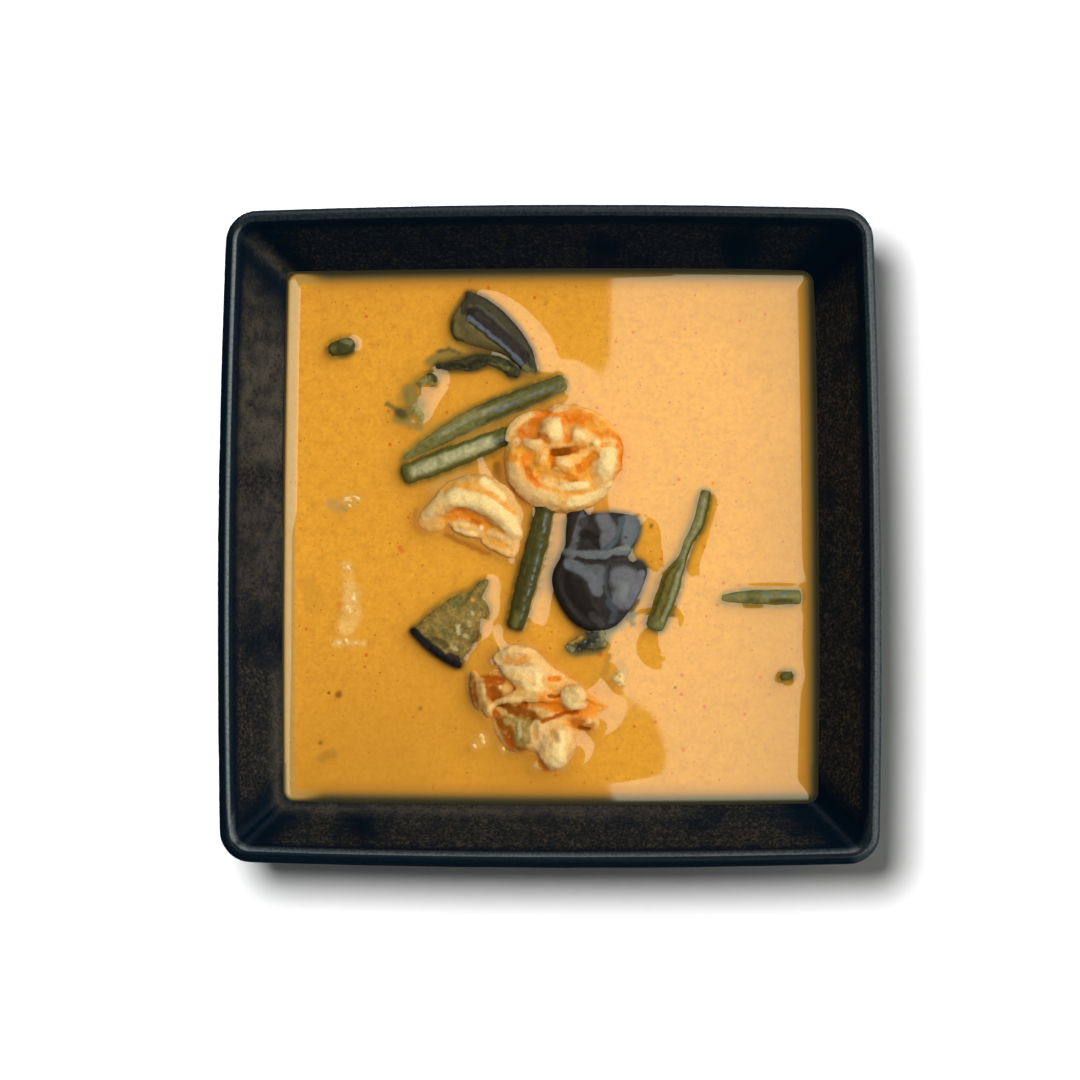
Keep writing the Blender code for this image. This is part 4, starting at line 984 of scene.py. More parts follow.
# Each bean: its route and radii in mm, its ground tone, and stripes along it. A stripe is an angle
# about the pod (0 on top, positive on the right of its run) and a half width, both in degrees,
# from and to shares of its length, a tone and a strength.
# the MIST stripes are painted highlights, except two thin pale bands on the fifth bean
BEANS = {
    "green_bean_1": (
        [(-44.6, 24.8, -1), (-33.6, 31.2, -0.6), (-21.8, 37.4, -0.4), (-8.9, 42.6, -0.4),
         (3.4, 47.6, -0.6)],
        [1.5, 2.9, 3.6, 3.5, 3.0], srgb(116, 108, 60),
        [(-56, 34, 0.0, 0.5, srgb(144, 124, 66), 0.9), (-46, 40, 0.5, 1.0, srgb(86, 82, 40), 0.85),
         (2, 30, 0.5, 1.0, srgb(94, 88, 46), 0.7), (-8, 16, 0.22, 0.62, srgb(146, 138, 100), 0.85),
         (8, 11, 0.55, 0.97, MIST, 0.75), (-22, 7, 0.62, 0.8, SAGE, 0.5),
         (42, 15, 0.5, 0.98, srgb(68, 63, 26), 0.85), (72, 13, 0.3, 0.7, srgb(156, 146, 98), 0.8),
         (58, 24, 0.94, 1.0, SAGE, 0.8)]),
    "green_bean_2": (
        [(-43.8, 19.6, -0.9), (-35.8, 22.6, -0.5), (-25.8, 26.4, -0.4), (-16.4, 30.2, -0.9),
         (-10.4, 32.6, -2.2)],
        [3.5, 3.9, 3.8, 3.5, 2.8], srgb(98, 92, 40),
        [(2, 34, 0.03, 0.78, srgb(178, 168, 124), 0.95), (-40, 8, 0.3, 0.8, srgb(92, 88, 38), 0.8),
         (46, 10, 0.3, 0.75, srgb(84, 80, 32), 0.7), (-74, 16, 0.45, 0.95, STRAW, 0.8),
         (10, 14, 0.74, 0.92, MIST, 0.6), (45, 26, 0.8, 1.0, srgb(62, 58, 24), 0.9),
         (0, 30, 0.27, 0.3, srgb(112, 104, 56), 0.6)]),
    "green_bean_3": (
        [(-1.2, 8.6, -0.8), (-3.8, -2.8, -0.3), (-5.6, -9.7, -0.2), (-7.6, -17.4, -0.3),
         (-10.3, -27, -0.9)],
        [3.5, 3.9, 3.8, 3.7, 3.3], srgb(74, 67, 28),
        [(-16, 6, 0.05, 0.95, MIST, 0.95), (24, 4, 0.06, 0.6, srgb(98, 98, 76), 0.55),
         (-64, 12, 0.02, 1.0, STRAW, 0.9), (10, 20, 0.9, 1.0, srgb(112, 106, 46), 0.8),
         (60, 16, 0.0, 1.0, srgb(78, 72, 32), 0.7)]),
    "green_bean_4": (
        [(48.4, 13.2, -0.9), (46.2, 4, -0.7), (43.2, -1.6, -0.6), (41.2, -6.8, -0.6), (39.7, -9.8, -0.6),
         (38.2, -12.6, -0.7), (36.5, -17.8, -0.7), (32.9, -27.2, -1)],
        [2.0, 2.0, 1.6, 1.7, 2.6, 3.3, 3.7, 3.2], srgb(104, 94, 42),
        [(18, 46, 0.02, 0.5, srgb(142, 136, 92), 0.95), (-55, 20, 0.0, 0.54, srgb(66, 66, 30), 0.95),
         (62, 18, 0.56, 0.96, srgb(140, 112, 42), 0.9), (34, 9, 0.56, 0.98, srgb(72, 64, 24), 0.9),
         (12, 9, 0.58, 0.94, srgb(124, 104, 44), 0.9), (-8, 8, 0.54, 0.98, srgb(74, 68, 26), 0.9),
         (-30, 12, 0.5, 0.98, srgb(138, 136, 102), 0.9), (-60, 14, 0.5, 1.0, srgb(86, 88, 54), 0.85),
         (0, 70, 0.97, 1.0, srgb(120, 116, 70), 0.7)]),
    "green_bean_5": (
        [(54.3, -19.2, -1), (61, -18.9, -0.8), (69.5, -18.9, -0.7), (76.6, -18.9, -0.8)],
        [1.5, 2.3, 2.6, 2.5], srgb(130, 120, 66),
        [(-50, 26, 0.0, 1.0, srgb(104, 108, 66), 0.7), (0, 80, 0.12, 0.15, MIST, 0.75),
         (0, 80, 0.28, 0.31, MIST, 0.4), (-14, 16, 0.52, 0.97, MIST, 0.8),
         (26, 20, 0.62, 0.95, srgb(74, 70, 30), 0.9), (0, 60, 0.3, 0.5, srgb(84, 78, 36), 0.6)]),
}


def pod_frames(points, radii):
    """Stations along a pod: centre, side and up vectors, radius and share, ends domed."""
    rough = smooth_path([(*p, r) for p, r in zip(points, radii)], 40)
    steps = np.linalg.norm(np.diff(rough[:, :3], axis=0), axis=1)
    run = np.concatenate([[0.0], np.cumsum(steps)])
    shares = np.linspace(0, 1, int(run[-1] / POD_STEP))
    path = np.column_stack([np.interp(shares * run[-1], run, rough[:, k]) for k in range(4)])
    tangent = np.gradient(path[:, :3], axis=0)
    tangent /= np.linalg.norm(tangent, axis=1)[:, None]
    side = np.cross(tangent, (0, 0, 1))
    side /= np.linalg.norm(side, axis=1)[:, None]
    up = np.cross(side, tangent)
    dome = [(0.56, 0.3), (0.54, 0.6), (0.46, 0.82), (0.32, 0.94), (0.12, 0.99)]      # out, radius
    head = [(path[0, :3] - tangent[0] * path[0, 3] * out, side[0], up[0], path[0, 3] * size, 0.0)
            for out, size in dome]
    body = list(zip(path[:, :3], side, up, path[:, 3], shares))
    tail = [(path[-1, :3] + tangent[-1] * path[-1, 3] * out, side[-1], up[-1], path[-1, 3] * size, 1.0)
            for out, size in reversed(dome)]
    return head + body + tail, run[-1]


def build_bean(name, finish):
    points, radii, base, stripes = BEANS[name]
    frames, length = pod_frames(points, radii)
    angles = np.radians(np.arange(POD_SIDES) * 360 / POD_SIDES)
    seed = sum(map(ord, name)) % 17
    rows = []
    for centre, side, up, radius, share in frames:
        swell = 1 + 0.03 * math.sin(share * length / 6.5 * math.tau + seed)
        seam = 1 + 0.05 * np.cos(2 * angles + 0.6) + 0.02 * np.cos(7 * angles)
        reach = radius * swell * seam * 0.97
        rows.append(centre + np.outer(reach * np.sin(angles), side) + np.outer(reach * np.cos(angles), up))
    places = np.vstack(rows)
    mesh = grid_mesh(name + "_pod", (places + (0, 0, CURRY_LEVEL)) * MM, ring_faces(len(rows), POD_SIDES))
    face_outwards(mesh)
    push(mesh, 0.06 * ripple(places, 3.0, seed) + 0.02 * ripple(places, 1.2, seed + 1.0))

    around = np.tile(np.degrees(angles), len(rows))
    around = (around + 180) % 360 - 180
    along = np.repeat([station[4] for station in frames], POD_SIDES)
    grain = ripple(places * (1, 1, 0.5), 1.4, seed + 2.0)
    flecks = smooth_step(grain + 0.7 * ripple(places, 0.8, seed + 4.0), -0.45, 0.25)
    colours = np.tile(base, (len(places), 1)) * (1 + 0.25 * grain)[:, None]
    for angle, half, start, end, tone, strength in stripes:
        off = np.abs(around - angle + 6 * ripple(places, 4.0, seed + 3.0)) / half
        cover = 1 - smooth_step(off, 0.5, 1.3)
        cover *= smooth_step(along, start - STRIPE_FADE, start + STRIPE_FADE) if start > 0 else 1
        cover *= 1 - smooth_step(along, end - STRIPE_FADE, end + STRIPE_FADE) if end < 1 else 1
        # the painted highlights (MIST) break up into flecks
        broken = flecks if tone is MIST else 0.75 + 0.25 * flecks
        colours = mix(colours, tone, np.clip(cover * strength * broken, 0, 1))
    paint(mesh, colours)
    return add_piece(name + "_pod", mesh, finish, "green_bean", name)


# ---- small greens and leaves -----------------------------------------------------------------
# Each small piece: its ground tone, its slot and its strokes.
SMALL_PIECES = {
    "green_bean_end": (srgb(72, 68, 34), "green_bean", [
        (0.8, 0.1, 0.6, SAGE, -64.4, 61, -62, 60.6),
        (1.2, 0, 0.7, SEDGE, -67.6, 58.4)]),
    "green_bit": (srgb(92, 84, 36), "green_bean", [
        (0.8, 0, 0.8, srgb(66, 62, 28), 75.2, -43)]),
    "stem_ring": (srgb(132, 116, 62), "pale_greens", [
        (0.6, 0.1, 0.95, srgb(62, 54, 36), -41.4, 49.8, -39.4, 50.8, -37, 50.4, -35.6, 48.6),
        (0.9, -0.2, 0.7, AMBER, -39, 46.6, -37.4, 46.2),
        (0.8, 0, 0.6, SMOKE, -40, 48.6)]),
    "pale_vegetable": (srgb(136, 116, 58), "pale_greens", [
        (1.1, 0.15, 0.8, srgb(156, 140, 84), -43.2, 44, -41.6, 40, -39.6, 37),
        (1.5, -0.1, 0.9, srgb(92, 78, 46), -46.2, 38.6),
        (1.2, 0, 0.6, TAN, -42.6, 36.2),
        # painted highlight
        (0.8, 0.1, 0.8, PALE_PULP, -39.4, 35.6),
        (1.2, 0, 0.6, SEDGE, -44.6, 43.4)]),
    "pale_lump": (srgb(214, 176, 112), "pale_greens", [
        (0.9, -0.3, 0.7, SMOKE, 20, -42.4),
        (0.7, 0.3, 0.7, WHITE, 22.4, -44.6),
        (0.6, 0.2, 0.9, CREAM, 21.6, -46.4),
        (0.6, -0.2, 0.8, AMBER, 19, -44.8)]),
    "basil_strip": (srgb(64, 61, 35), "thai_basil", [
        (0.7, 0.1, 0.55, INK, -35, 53.1, -29, 53.3, -24, 53),
        (0.8, 0.1, 0.6, INK, -23.4, 54.4, -19, 55.4),
        (0.9, 0, 0.8, SEDGE, -18.4, 53.2, -13, 52.2),
        (0.5, 0, 0.8, srgb(76, 69, 44), -29.6, 52.4, -26, 52)]),
    "basil_scrap": (srgb(84, 76, 50), "thai_basil", [
        (0.9, 0.1, 0.9, SAGE, 5.6, -34.8, 7, -35.2),
        (1.2, 0, 0.8, INK, 9.6, -34.4, 13.4, -32.2),
        (0.9, 0, 0.8, srgb(52, 52, 50), 12.4, -30.4, 14.6, -30.6),
        (1.1, -0.5, 0.9, srgb(168, 124, 56), 5.8, -32.8, 8.4, -31.8, 10, -30.6),
        (1, 0, 0.85, srgb(132, 122, 84), 16.4, -30, 17, -33.4),
        (0.8, 0, 0.8, srgb(136, 112, 62), 10, -36.2, 14.6, -35.8),
        # painted glints
        (0.4, 0.1, 0.7, MIST, 11, -32.6),
        (0.4, 0.1, 0.7, MIST, 13.2, -33.4),
        (0.45, 0.1, 0.6, MIST, 14.8, -32),
        (0.4, 0, 0.6, MIST, 9.4, -34.8)]),
}


# What is fused with the leaves, so that they end in torn lobes.
LEAF_FORMS = {
    "basil_strip": [
        strand([(-34.4, 53.0, 0.2), (-30.4, 53.6, 0.3), (-26.4, 54.2, 0.4), (-22.0, 55.4, 0.5),
                (-17.4, 54.6, 0.5), (-13.6, 52.6, 0.4), (-10.6, 50.4, 0.2)],
               [0.7, 1.1, 1.3, 1.5, 1.4, 1.4, 1.0]),
        lump((-12.2, 51.4, 0.1), (2.2, 1.8, 0.9), -30)],
    "basil_scrap": [
        lump((15.2, -30.4, 0.2), (2.4, 2.2, 0.9), 20), lump((14.2, -33.4, 0.1), (3.2, 2.0, 0.8)),
        lump((8.6, -34.6, 0.1), (3.4, 1.3, 0.8), 15)],
}


def build_small_piece(name, finishes):
    base, slot, strokes = SMALL_PIECES[name]
    mesh = fused(name, name, LEAF_FORMS.get(name, []), grain=0.3, soften=4)
    places = vertices(mesh)
    colours = np.tile(base, (len(places), 1)) * (1 + 0.3 * ripple(places, 1.2, 12.0))[:, None]
    colours = brush(mesh, colours, strokes)
    torn = 0.3 if name in LEAF_FORMS else 0.1
    push(mesh, torn * ripple(vertices(mesh), 1.3, 13.0))
    paint(mesh, colours)
    return add_piece(name + "_bit", mesh, finishes[slot], slot, name)


# ---- the curry -------------------------------------------------------------------------------
SOUP = srgb(236, 161, 48)
CURRY_CELLS = 272            # along each side of the surface
WALL_BITE = 1.2              # how far the curry reaches into the wall, mm
WALL_CLIMB = 1.1             # height at which the curry meets the wall, mm from its level
WALL_SLOW = 0.85             # the wide part of that climb, mm
WALL_REACH = 3.2             # how far out that part dies away, mm
WALL_LIP = 1.0               # how far out its steep last part begins, mm
CREEP = 0.72                 # how far the curry climbs a piece, mm
CREEP_REACH = 2.9            # how far out that climb dies away, mm
SHELTER = 0.2                # the share of that climb on the sides that face away from +X +Y
HIDDEN = 0.2                 # how far it stays under the top of what stands in it, mm
SUNK_BORDER = 2.3            # how far out a piece shows under the curry, mm
BORDER_REACH = 1.4           # how far out a piece's colour spreads for that, mm
CLARITY = 0.9                # depth in mm at which a sunk piece has mostly faded
SHADE_REACH = 2.6            # how far out the shade beside a piece dies away, mm
SKIRT_LEVELS = (30.0, 22.0, 14.0, FLOOR_LEVEL + 0.6)         # down the wall, mm from the ground
BEND_LEVEL = 12.0            # below this the wall bends into the floor, mm from the ground
SKIRT_END = 55.0             # from the middle to the skirt's lowest ring, mm
NOTHING = -99.0              # the height where no piece is
RELAX_ROUNDS = 400
DEEP_SHADE = srgb(160, 102, 28)
WALL_SHADE = srgb(44, 42, 32)
OLIVE_SHADE = srgb(104, 90, 48)
DULL_SHADE = srgb(172, 114, 46)
LEFT_SHADE = srgb(190, 150, 82)
# Low swells that tilt the curry out of the window's reflection, or into it: half width and height
# in mm, how much of the climb of the pieces round about they take away, and the ridge as x, y, x, y.
SWELLS = [
    (9.6, 0.5, 1, 35.2, -2.6),
    (4.8, 0.26, 0.9, 52.6, 10, 51.1, 4.5, 48.8, -3.4, 46.8, -9),
    (8.2, 0.3, 0.9, 34.4, -33.8),
    (2.6, 0.2, 0, 62, -20.5, 65.4, -20.5),
    (8.5, 0.65, 0, -39.2, 48.5, -40.8, 45.4, -45.5, 37.6),
    (6, 0.4, 0, -5.5, 53.5, 1.5, 48.5),
]
# Where the curry stays flat beside a piece: how far from a line, and the line as x, y, x, y, in mm.
CALM = [
    (5, -11, -31, 0, -37, 9, -42.5),
    (2.6, -15, 22.5, -13.8, 16, -11, 10.5),
    (2, -8.6, 8, -8.4, 0, -10, -7),
    (3.2, -18.6, 25, -16.8, 20, -15, 15),
    (3.8, 28.6, 3.4, 26, -1, 25.2, -3.6, 27, -6.2, 30.6, -8),
    (3, 48, 17, 46.4, 13.8, 44.4, 4.6, 41.6, -1, 39.5, -6.4),
    (3, 50.4, 12.6, 48.3, 3.6, 45, -2.2, 43.2, -7.4, 42.2, -10.6),
    (4.4, 52.6, -19.1, 61, -18.9, 69.5, -18.9, 77, -18.9),
    (2.2, 29.6, -25.4, 39, -26),
]


def curry_grid():
    """Plan places of the curry's top, a square grid that follows the bowl's taper and bowed sides."""
    share = np.linspace(-1, 1, CURRY_CELLS + 1)
    across, up = np.meshgrid(share, share, indexing="ij")
    half = CURRY_HALF + WALL_BITE
    x = across * (half - CURRY_BOW * up ** 2)
    y = up * (half - CURRY_BOW * across ** 2)
    return x * (1 - PLAN_TAPER * y / RIM_HALF), y


def wall_distance(x, y):
    """Distance in plan from where the curry meets the wall, mm, negative beyond it."""
    reach = CURRY_HALF + WALL_CLIMB / WALL_SLOPE - CURRY_CORNER
    past_x = np.abs(x) / (1 - PLAN_TAPER * y / RIM_HALF) - reach + CURRY_BOW * (y / CURRY_HALF) ** 2
    past_y = np.abs(y) - reach + CURRY_BOW * (x / CURRY_HALF) ** 2
    corner = np.hypot(np.maximum(past_x, 0), np.maximum(past_y, 0))
    return CURRY_CORNER - corner - np.minimum(np.maximum(past_x, past_y), 0)


def top_map(pieces, x, y):
    """Height in mm from the level, and colour, of the highest piece over each place."""
    points, faces, tones, start = [], [], [], 0
    for piece in pieces:
        mesh = piece.data
        points.extend(v.co[:] for v in mesh.vertices)
        faces.extend([start + index for index in face.vertices] for face in mesh.polygons)
        rgba = np.empty(len(mesh.vertices) * 4, dtype=np.float32)
        mesh.color_attributes["tint"].data.foreach_get("color", rgba)
        tones.append(rgba.reshape(-1, 4)[:, :3])
        start = len(points)
    tones = np.vstack(tones)
    tree = BVHTree.FromPolygons(points, faces)
    tops = np.full(x.shape, NOTHING)
    colours = np.zeros((*x.shape, 3))
    for index in np.ndindex(x.shape):
        above = Vector((x[index] * MM, y[index] * MM, BOWL_HEIGHT * MM))
        hit, _, face, _ = tree.ray_cast(above, Vector((0, 0, -1)))
        if hit:
            tops[index] = hit.z / MM - CURRY_LEVEL
            colours[index] = tones[faces[face][0]]
    return tops, colours


def relax(fixed, held, reach, zero=None):
    """A field that equals fixed where held, zero where told, and dies away elsewhere over reach mm."""
    pull = (reach * CURRY_CELLS / (2 * CURRY_HALF)) ** 2
    clear = np.zeros(fixed.shape, bool) if zero is None else zero & ~held
    field = np.where(held, fixed, 0.0)
    for _ in range(RELAX_ROUNDS):
        total = np.zeros_like(field)
        total[1:-1, 1:-1] = field[2:, 1:-1] + field[:-2, 1:-1] + field[1:-1, 2:] + field[1:-1, :-2]
        field = np.where(held, fixed, np.where(clear, 0.0, total * pull / (1 + 4 * pull)))
    return field


def highest_near(field, cells):
    """The highest value within a number of cells each way."""
    for axis in (0, 1):
        field = np.max([np.roll(field, shift, axis) for shift in range(-cells, cells + 1)], axis=0)
    return field


def blurred(field, rounds):
    for _ in range(rounds):
        wide = np.pad(field, 1, mode="edge")
        field = (wide[2:, 1:-1] + wide[:-2, 1:-1] + wide[1:-1, 2:] + wide[1:-1, :-2] + 4 * field) / 8
    return field


# What floats just under the curry or stains it, and painted shadow beside two shrimps: half width,
# strength, colour, and x, y, x, y in mm.
STAINS = [
    (1.6, 0.5, srgb(168, 132, 58), -31, 60, -24, 57.4),
    (1.8, 0.7, srgb(246, 184, 92), -63.4, -9, -62.4, -14.6),
    (2.9, 0.85, srgb(248, 192, 108), -62, -17, -61.6, -24, -63.4, -28.2),
    (1, 0.8, srgb(246, 190, 106), -67, -33, -57.6, -33),
    (1.9, 0.8, srgb(196, 150, 84), -68, 10.4, -65.4, 9),
    (1.5, 0.6, srgb(180, 130, 50), -63.6, 9.4),
    (2.8, 0.4, srgb(200, 142, 44), -75, -15, -73.4, -21),
    (1.2, 0.95, srgb(146, 78, 20), -65.5, -49.3),
    (0.7, 0.8, srgb(140, 84, 30), -40.2, -53.4),
    (0.8, 0.9, srgb(134, 76, 28), -71.1, -64.3),
    (0.7, 0.9, srgb(124, 90, 44), 38.7, -24.4),
    (0.8, 0.85, srgb(110, 76, 36), 31.6, 3.1),
    (0.9, 0.95, srgb(206, 84, 24), 15.8, -36.6),
    (1.4, 0.75, srgb(186, 128, 42), 18.4, -37, 17.6, -40.6, 16.8, -43),
    (1.8, 0.7, srgb(196, 140, 56), 22, -40, 23.4, -42),
    (1.2, 0.6, srgb(220, 112, 34), -65.4, -21.4),
    (0.8, 0.9, srgb(218, 112, 32), -46.6, -3.4, -46, -4.4),
    (1.4, 0.8, srgb(132, 116, 66), 25.4, -24.4),
    (1.1, 0.9, srgb(104, 92, 48), 25.6, -27),
    (1.8, 0.75, srgb(150, 136, 88), 22, -27, 18.4, -30, 16, -33),
    # painted shadow: brown lines along the lower-left edges of the curled and arched shrimps
    (1.6, 0.95, srgb(146, 86, 18), -16.4, 22, -15.8, 17, -13.8, 12.4),
    (1.1, 0.8, srgb(184, 112, 34), -41.6, 8, -41.4, 4, -38.8, 1),
    (1, 0.85, srgb(170, 96, 26), -32.4, 0.6, -28, -1.4, -23.6, -3.6, -19, -5.2),
    (1.7, 0.8, srgb(212, 160, 84), -36.6, 14.6, -33.4, 17.2, -28, 19.4),
    (2.2, 0.8, srgb(120, 104, 54), -37, 54.6, -32.6, 57, -28, 55.4),
    (0.6, 0.75, srgb(74, 68, 40), -34.6, 57.6, -31.5, 58.6, -28.2, 57.2),
    (1.2, 0.8, srgb(120, 108, 56), -11.2, 50.2),
    (0.7, 0.75, srgb(206, 96, 30), -48.6, 65.6),
    (0.6, 0.7, srgb(206, 104, 34), -46, 74),
    (0.6, 0.75, srgb(206, 96, 30), -55.6, 60),
    (0.6, 0.75, srgb(188, 120, 36), -1.2, 72.8),
    (0.9, 0.85, srgb(104, 90, 46), -50.6, 41.4, -47.6, 39.4),
    (1.5, 0.75, srgb(150, 122, 62), -47.6, 36.4, -43.4, 34.6, -40.6, 34.2),
    (1.5, 0.5, srgb(166, 128, 58), -46.4, 43.4, -44.4, 46.4),
    (1.7, 0.75, srgb(124, 110, 62), 15.6, -29.2, 16.6, -31.6, 14.6, -35.4, 8.6, -36.4),
    (1.1, 0.8, srgb(98, 90, 48), 24.6, -25.8, 26.4, -24.2),
    (2.3, 0.85, srgb(138, 118, 68), -43.6, 45, -42.4, 41, -44.8, 37.4),
    (1.4, 0.95, srgb(70, 60, 40), -47.2, 38.8, -45.2, 37.6),
    (1.7, 0.6, srgb(164, 112, 40), -71, -69, -67.6, -67.6),
]


def wall_climb(x, y, from_wall):
    """How far the curry climbs the wall at each place, in mm."""
    climb = WALL_SLOW * np.exp(-np.maximum(from_wall, 0) / WALL_REACH)
    climb *= 1 + smooth_step(-x, 60, 72) * (0.5 * smooth_step(y, 0, 10) - 0.15)
    climb += (WALL_CLIMB - WALL_SLOW) * np.maximum(1 - np.maximum(from_wall, 0) / WALL_LIP, 0) ** 2
    climb -= 0.5 * np.minimum(from_wall, 0)
    return climb


def piece_climb(tops):
    """How far the curry may climb each piece, in mm: less on the sides that face away from +X +Y."""
    body = blurred((tops > NOTHING).astype(float), 14)
    slope_x, slope_y = np.gradient(-body)
    facing = (0.6 * slope_x + 0.8 * slope_y) / np.maximum(np.hypot(slope_x, slope_y), 1e-9)
    return CREEP * (SHELTER + (1 - SHELTER) * smooth_step(facing, -0.5, 0.6))


def curry_heights(x, y, places, tops):
    """How far the surface rises from its level at each place, in mm, and where a piece stands in it."""
    from_wall = wall_distance(x, y)
    creep = piece_climb(tops)
    high = tops > creep + HIDDEN
    low = (tops > 1.5 * HIDDEN) & (highest_near(tops, 2) <= creep + HIDDEN)
    stands = high | low
    creep = blurred(creep, 8)
    held = np.where(high, creep, np.minimum(tops - HIDDEN, creep))
    height = np.maximum(relax(held, stands, CREEP_REACH, from_wall < 0.5), 0)
    swell = wall_climb(x, y, from_wall)
    for width, rise, quiet, *ridge in SWELLS:
        away = distance_to_line(places, pairs(ridge)).reshape(x.shape) / width
        swell += rise * (1 - smooth_step(away, 0, 1))
        height *= 1 - quiet * (1 - smooth_step(away, 0.7, 1.2))
    for width, *line in CALM:
        height *= smooth_step(distance_to_line(places, pairs(line)).reshape(x.shape) / width, 0.7, 1.3)
    return blurred(height, 3) + swell, stands


def soup_tint(x, y, places, stands):
    """The curry's tint with grain and stains, and painted shade towards the front, far side and right, and
    beside standing pieces.
    """
    # painted shade: darker towards the front, the far side and the right
    shade_falloff = 1 - (0.22 - 0.14 * smooth_step(x, -5, 35)) * smooth_step(-y, 10, 85)
    shade_falloff = shade_falloff - 0.05 * smooth_step(y, 40, 85) - 0.12 * smooth_step(x, 45, 80)
    tint = np.tile(SOUP, (x.size, 1)) * shade_falloff.ravel()[:, None]
    tint = mix(tint, SOUP * 1.12, 0.3 * smooth_step(ripple(places, 22.0, 15.0), -0.2, 0.6))
    grain = 0.5 * ripple(places, 3.0, 16.0) + 0.5 * ripple(places, 1.3, 17.0)
    tint *= 1 + grain[:, None] * (0.06, 0.1, 0.2)
    shade = np.roll(relax(np.ones(x.shape), stands, SHADE_REACH), (-3, -2), axis=(0, 1))
    tint = mix(tint, DEEP_SHADE, 0.6 * shade.ravel())
    drawn = wandering(places, 0.6)
    for width, strength, colour, *line in STAINS:
        cover = 1 - smooth_step(distance_to_line(drawn, pairs(line)) / width, 0.4, 1.4)
        tint = mix(tint, colour, cover * strength)
    return tint


def show_sunk(tint, tops, tones, height):
    """The tint with the pieces showing through it, where they are sunk and just beside them."""
    known = tops > NOTHING
    spread = [relax(np.where(known, tones[:, :, k], 0), known, BORDER_REACH) for k in range(3)]
    weight = np.maximum(relax(np.ones(tops.shape), known, BORDER_REACH), 1e-6)
    spread = np.stack(spread, axis=-1) / weight[:, :, None]
    depth = np.maximum(np.where(known, height - tops, 0.0), 0.0)
    show = np.where(known, np.exp(-depth / CLARITY), 0.0)
    show_near = relax(show, known, BORDER_REACH) / weight
    away = -BORDER_REACH * np.log(weight)
    show = np.where(known, show, show_near * (1 - smooth_step(away, 0.2, SUNK_BORDER)))
    pale = smooth_step(spread.mean(axis=-1), 0.12, 0.4)
    return mix(tint, spread.reshape(-1, 3) * (0.9, 0.8, 0.55), (show * (0.88 - 0.5 * pale)).ravel())


def shade_by_wall(tint, places, near):
    """The tint with the dull, olive and dark bands that run along the wall."""
    on_left = smooth_step(-places[:, 0], 68, 79)
    dark_reach = 2.8 - 1.8 * on_left + 0.5 * (places[:, 1] < -70)
    tint = mix(tint, DULL_SHADE, 0.8 * (1 - on_left) * (1 - smooth_step(near, 2.2, 8.0)))
    tint = mix(tint, LEFT_SHADE, 0.85 * on_left * (1 - smooth_step(near, 3.2, 4.4)))
    tint = mix(tint, OLIVE_SHADE, 0.9 * (1 - 0.8 * on_left) * (1 - smooth_step(near, 1.4, 4.6)))
    return mix(tint, WALL_SHADE, 0.95 * (1 - smooth_step(near, 0.5, dark_reach)))


def curry_mesh(x, y, height):
    """The curry's body: its surface as a grid, and a skirt down along the wall to the bowl's floor."""
    points = [np.column_stack([x.ravel(), y.ravel(), CURRY_LEVEL + height.ravel()])]
    index = np.arange(x.size).reshape(x.shape)
    quads = np.stack([index[:-1, :-1], index[1:, :-1], index[1:, 1:], index[:-1, 1:]], axis=-1)
    faces = [tuple(quad) for quad in quads.reshape(-1, 4).tolist()]
    above = np.concatenate([index[:-1, 0], index[-1, :-1], index[:0:-1, -1], index[0, :0:-1]])
    edge = points[0][above, :2] / (CURRY_HALF + WALL_BITE)
    count = len(above)
    base = x.size
    for low in SKIRT_LEVELS:
        half = inner_half(low) + WALL_BITE if low > BEND_LEVEL else SKIRT_END
        points.append(np.column_stack([edge * half, np.full(count, low)]))
        below = base + np.arange(count)
        faces.extend((above[k], below[k], below[(k + 1) % count], above[(k + 1) % count])
                     for k in range(count))
        above = below
        base += count
    faces.append(tuple(above[::-1]))
    mesh = grid_mesh("curry_sauce", np.vstack(points) * MM, faces)
    face_outwards(mesh)
    return mesh


def build_curry(finish, pieces):
    x, y = curry_grid()
    places = np.column_stack([x.ravel(), y.ravel(), np.zeros(x.size)])
    near = wall_distance(x, y).ravel()
    tops, tones = top_map(pieces, x, y)
    height, stands = curry_heights(x, y, places, tops)
    tint = show_sunk(soup_tint(x, y, places, stands), tops, tones, height)
    tint = shade_by_wall(tint, places, near)
    mesh = curry_mesh(x, y, height)
    hidden = len(mesh.vertices) - x.size
    paint(mesh, np.vstack([tint, np.tile(SOUP, (hidden, 1))]))
    shine = np.concatenate([smooth_step(near, 0.6, 1.8), np.zeros(hidden)])
    paint(mesh, np.column_stack([shine] * 3), "shine")
    return add_piece("curry_sauce", mesh, finish, "curry", "curry")


# Oil drops and specks in the curry: cell and radius in mm, share of the cells, tone and strength.
SPECKS = [
    (1.9, 0.42, 0.55, srgb(204, 130, 40), 0.75),
    (3.4, 0.45, 0.5, srgb(190, 108, 30), 0.85),
    (6.5, 0.75, 0.4, srgb(212, 98, 22), 0.85),
    (12.0, 0.7, 0.35, srgb(150, 74, 24), 0.85),
]


def curry_material():
    n = Nodes(bpy.data.materials.new("curry"))
    where = n.place()
    cloud = n.noise(700.0, 3.0, 0.65, where)
    colour = n.blend(n.ramp(cloud, 0.35, 0.7, 0.0, 0.3), n.tint(), srgb(196, 122, 34), "DARKEN")
    haze = n.noise(260.0, 3.0, 0.6, where)
    colour = n.blend(n.ramp(haze, 0.45, 0.7, 0.0, 0.28), colour, srgb(200, 124, 30), "DARKEN")
    for cell, size, share, tone, strength in SPECKS:
        cover = n.math("MULTIPLY", n.dots(cell, size, share, where), strength)
        colour = n.blend(cover, colour, tone, "DARKEN")
    n.colour(colour)
    n.specular(n.ramp(n.tint("shine"), 0.0, 1.0, 0.0, 0.5))
    n.set(Roughness=0.03, IOR=1.47)
    return n.material


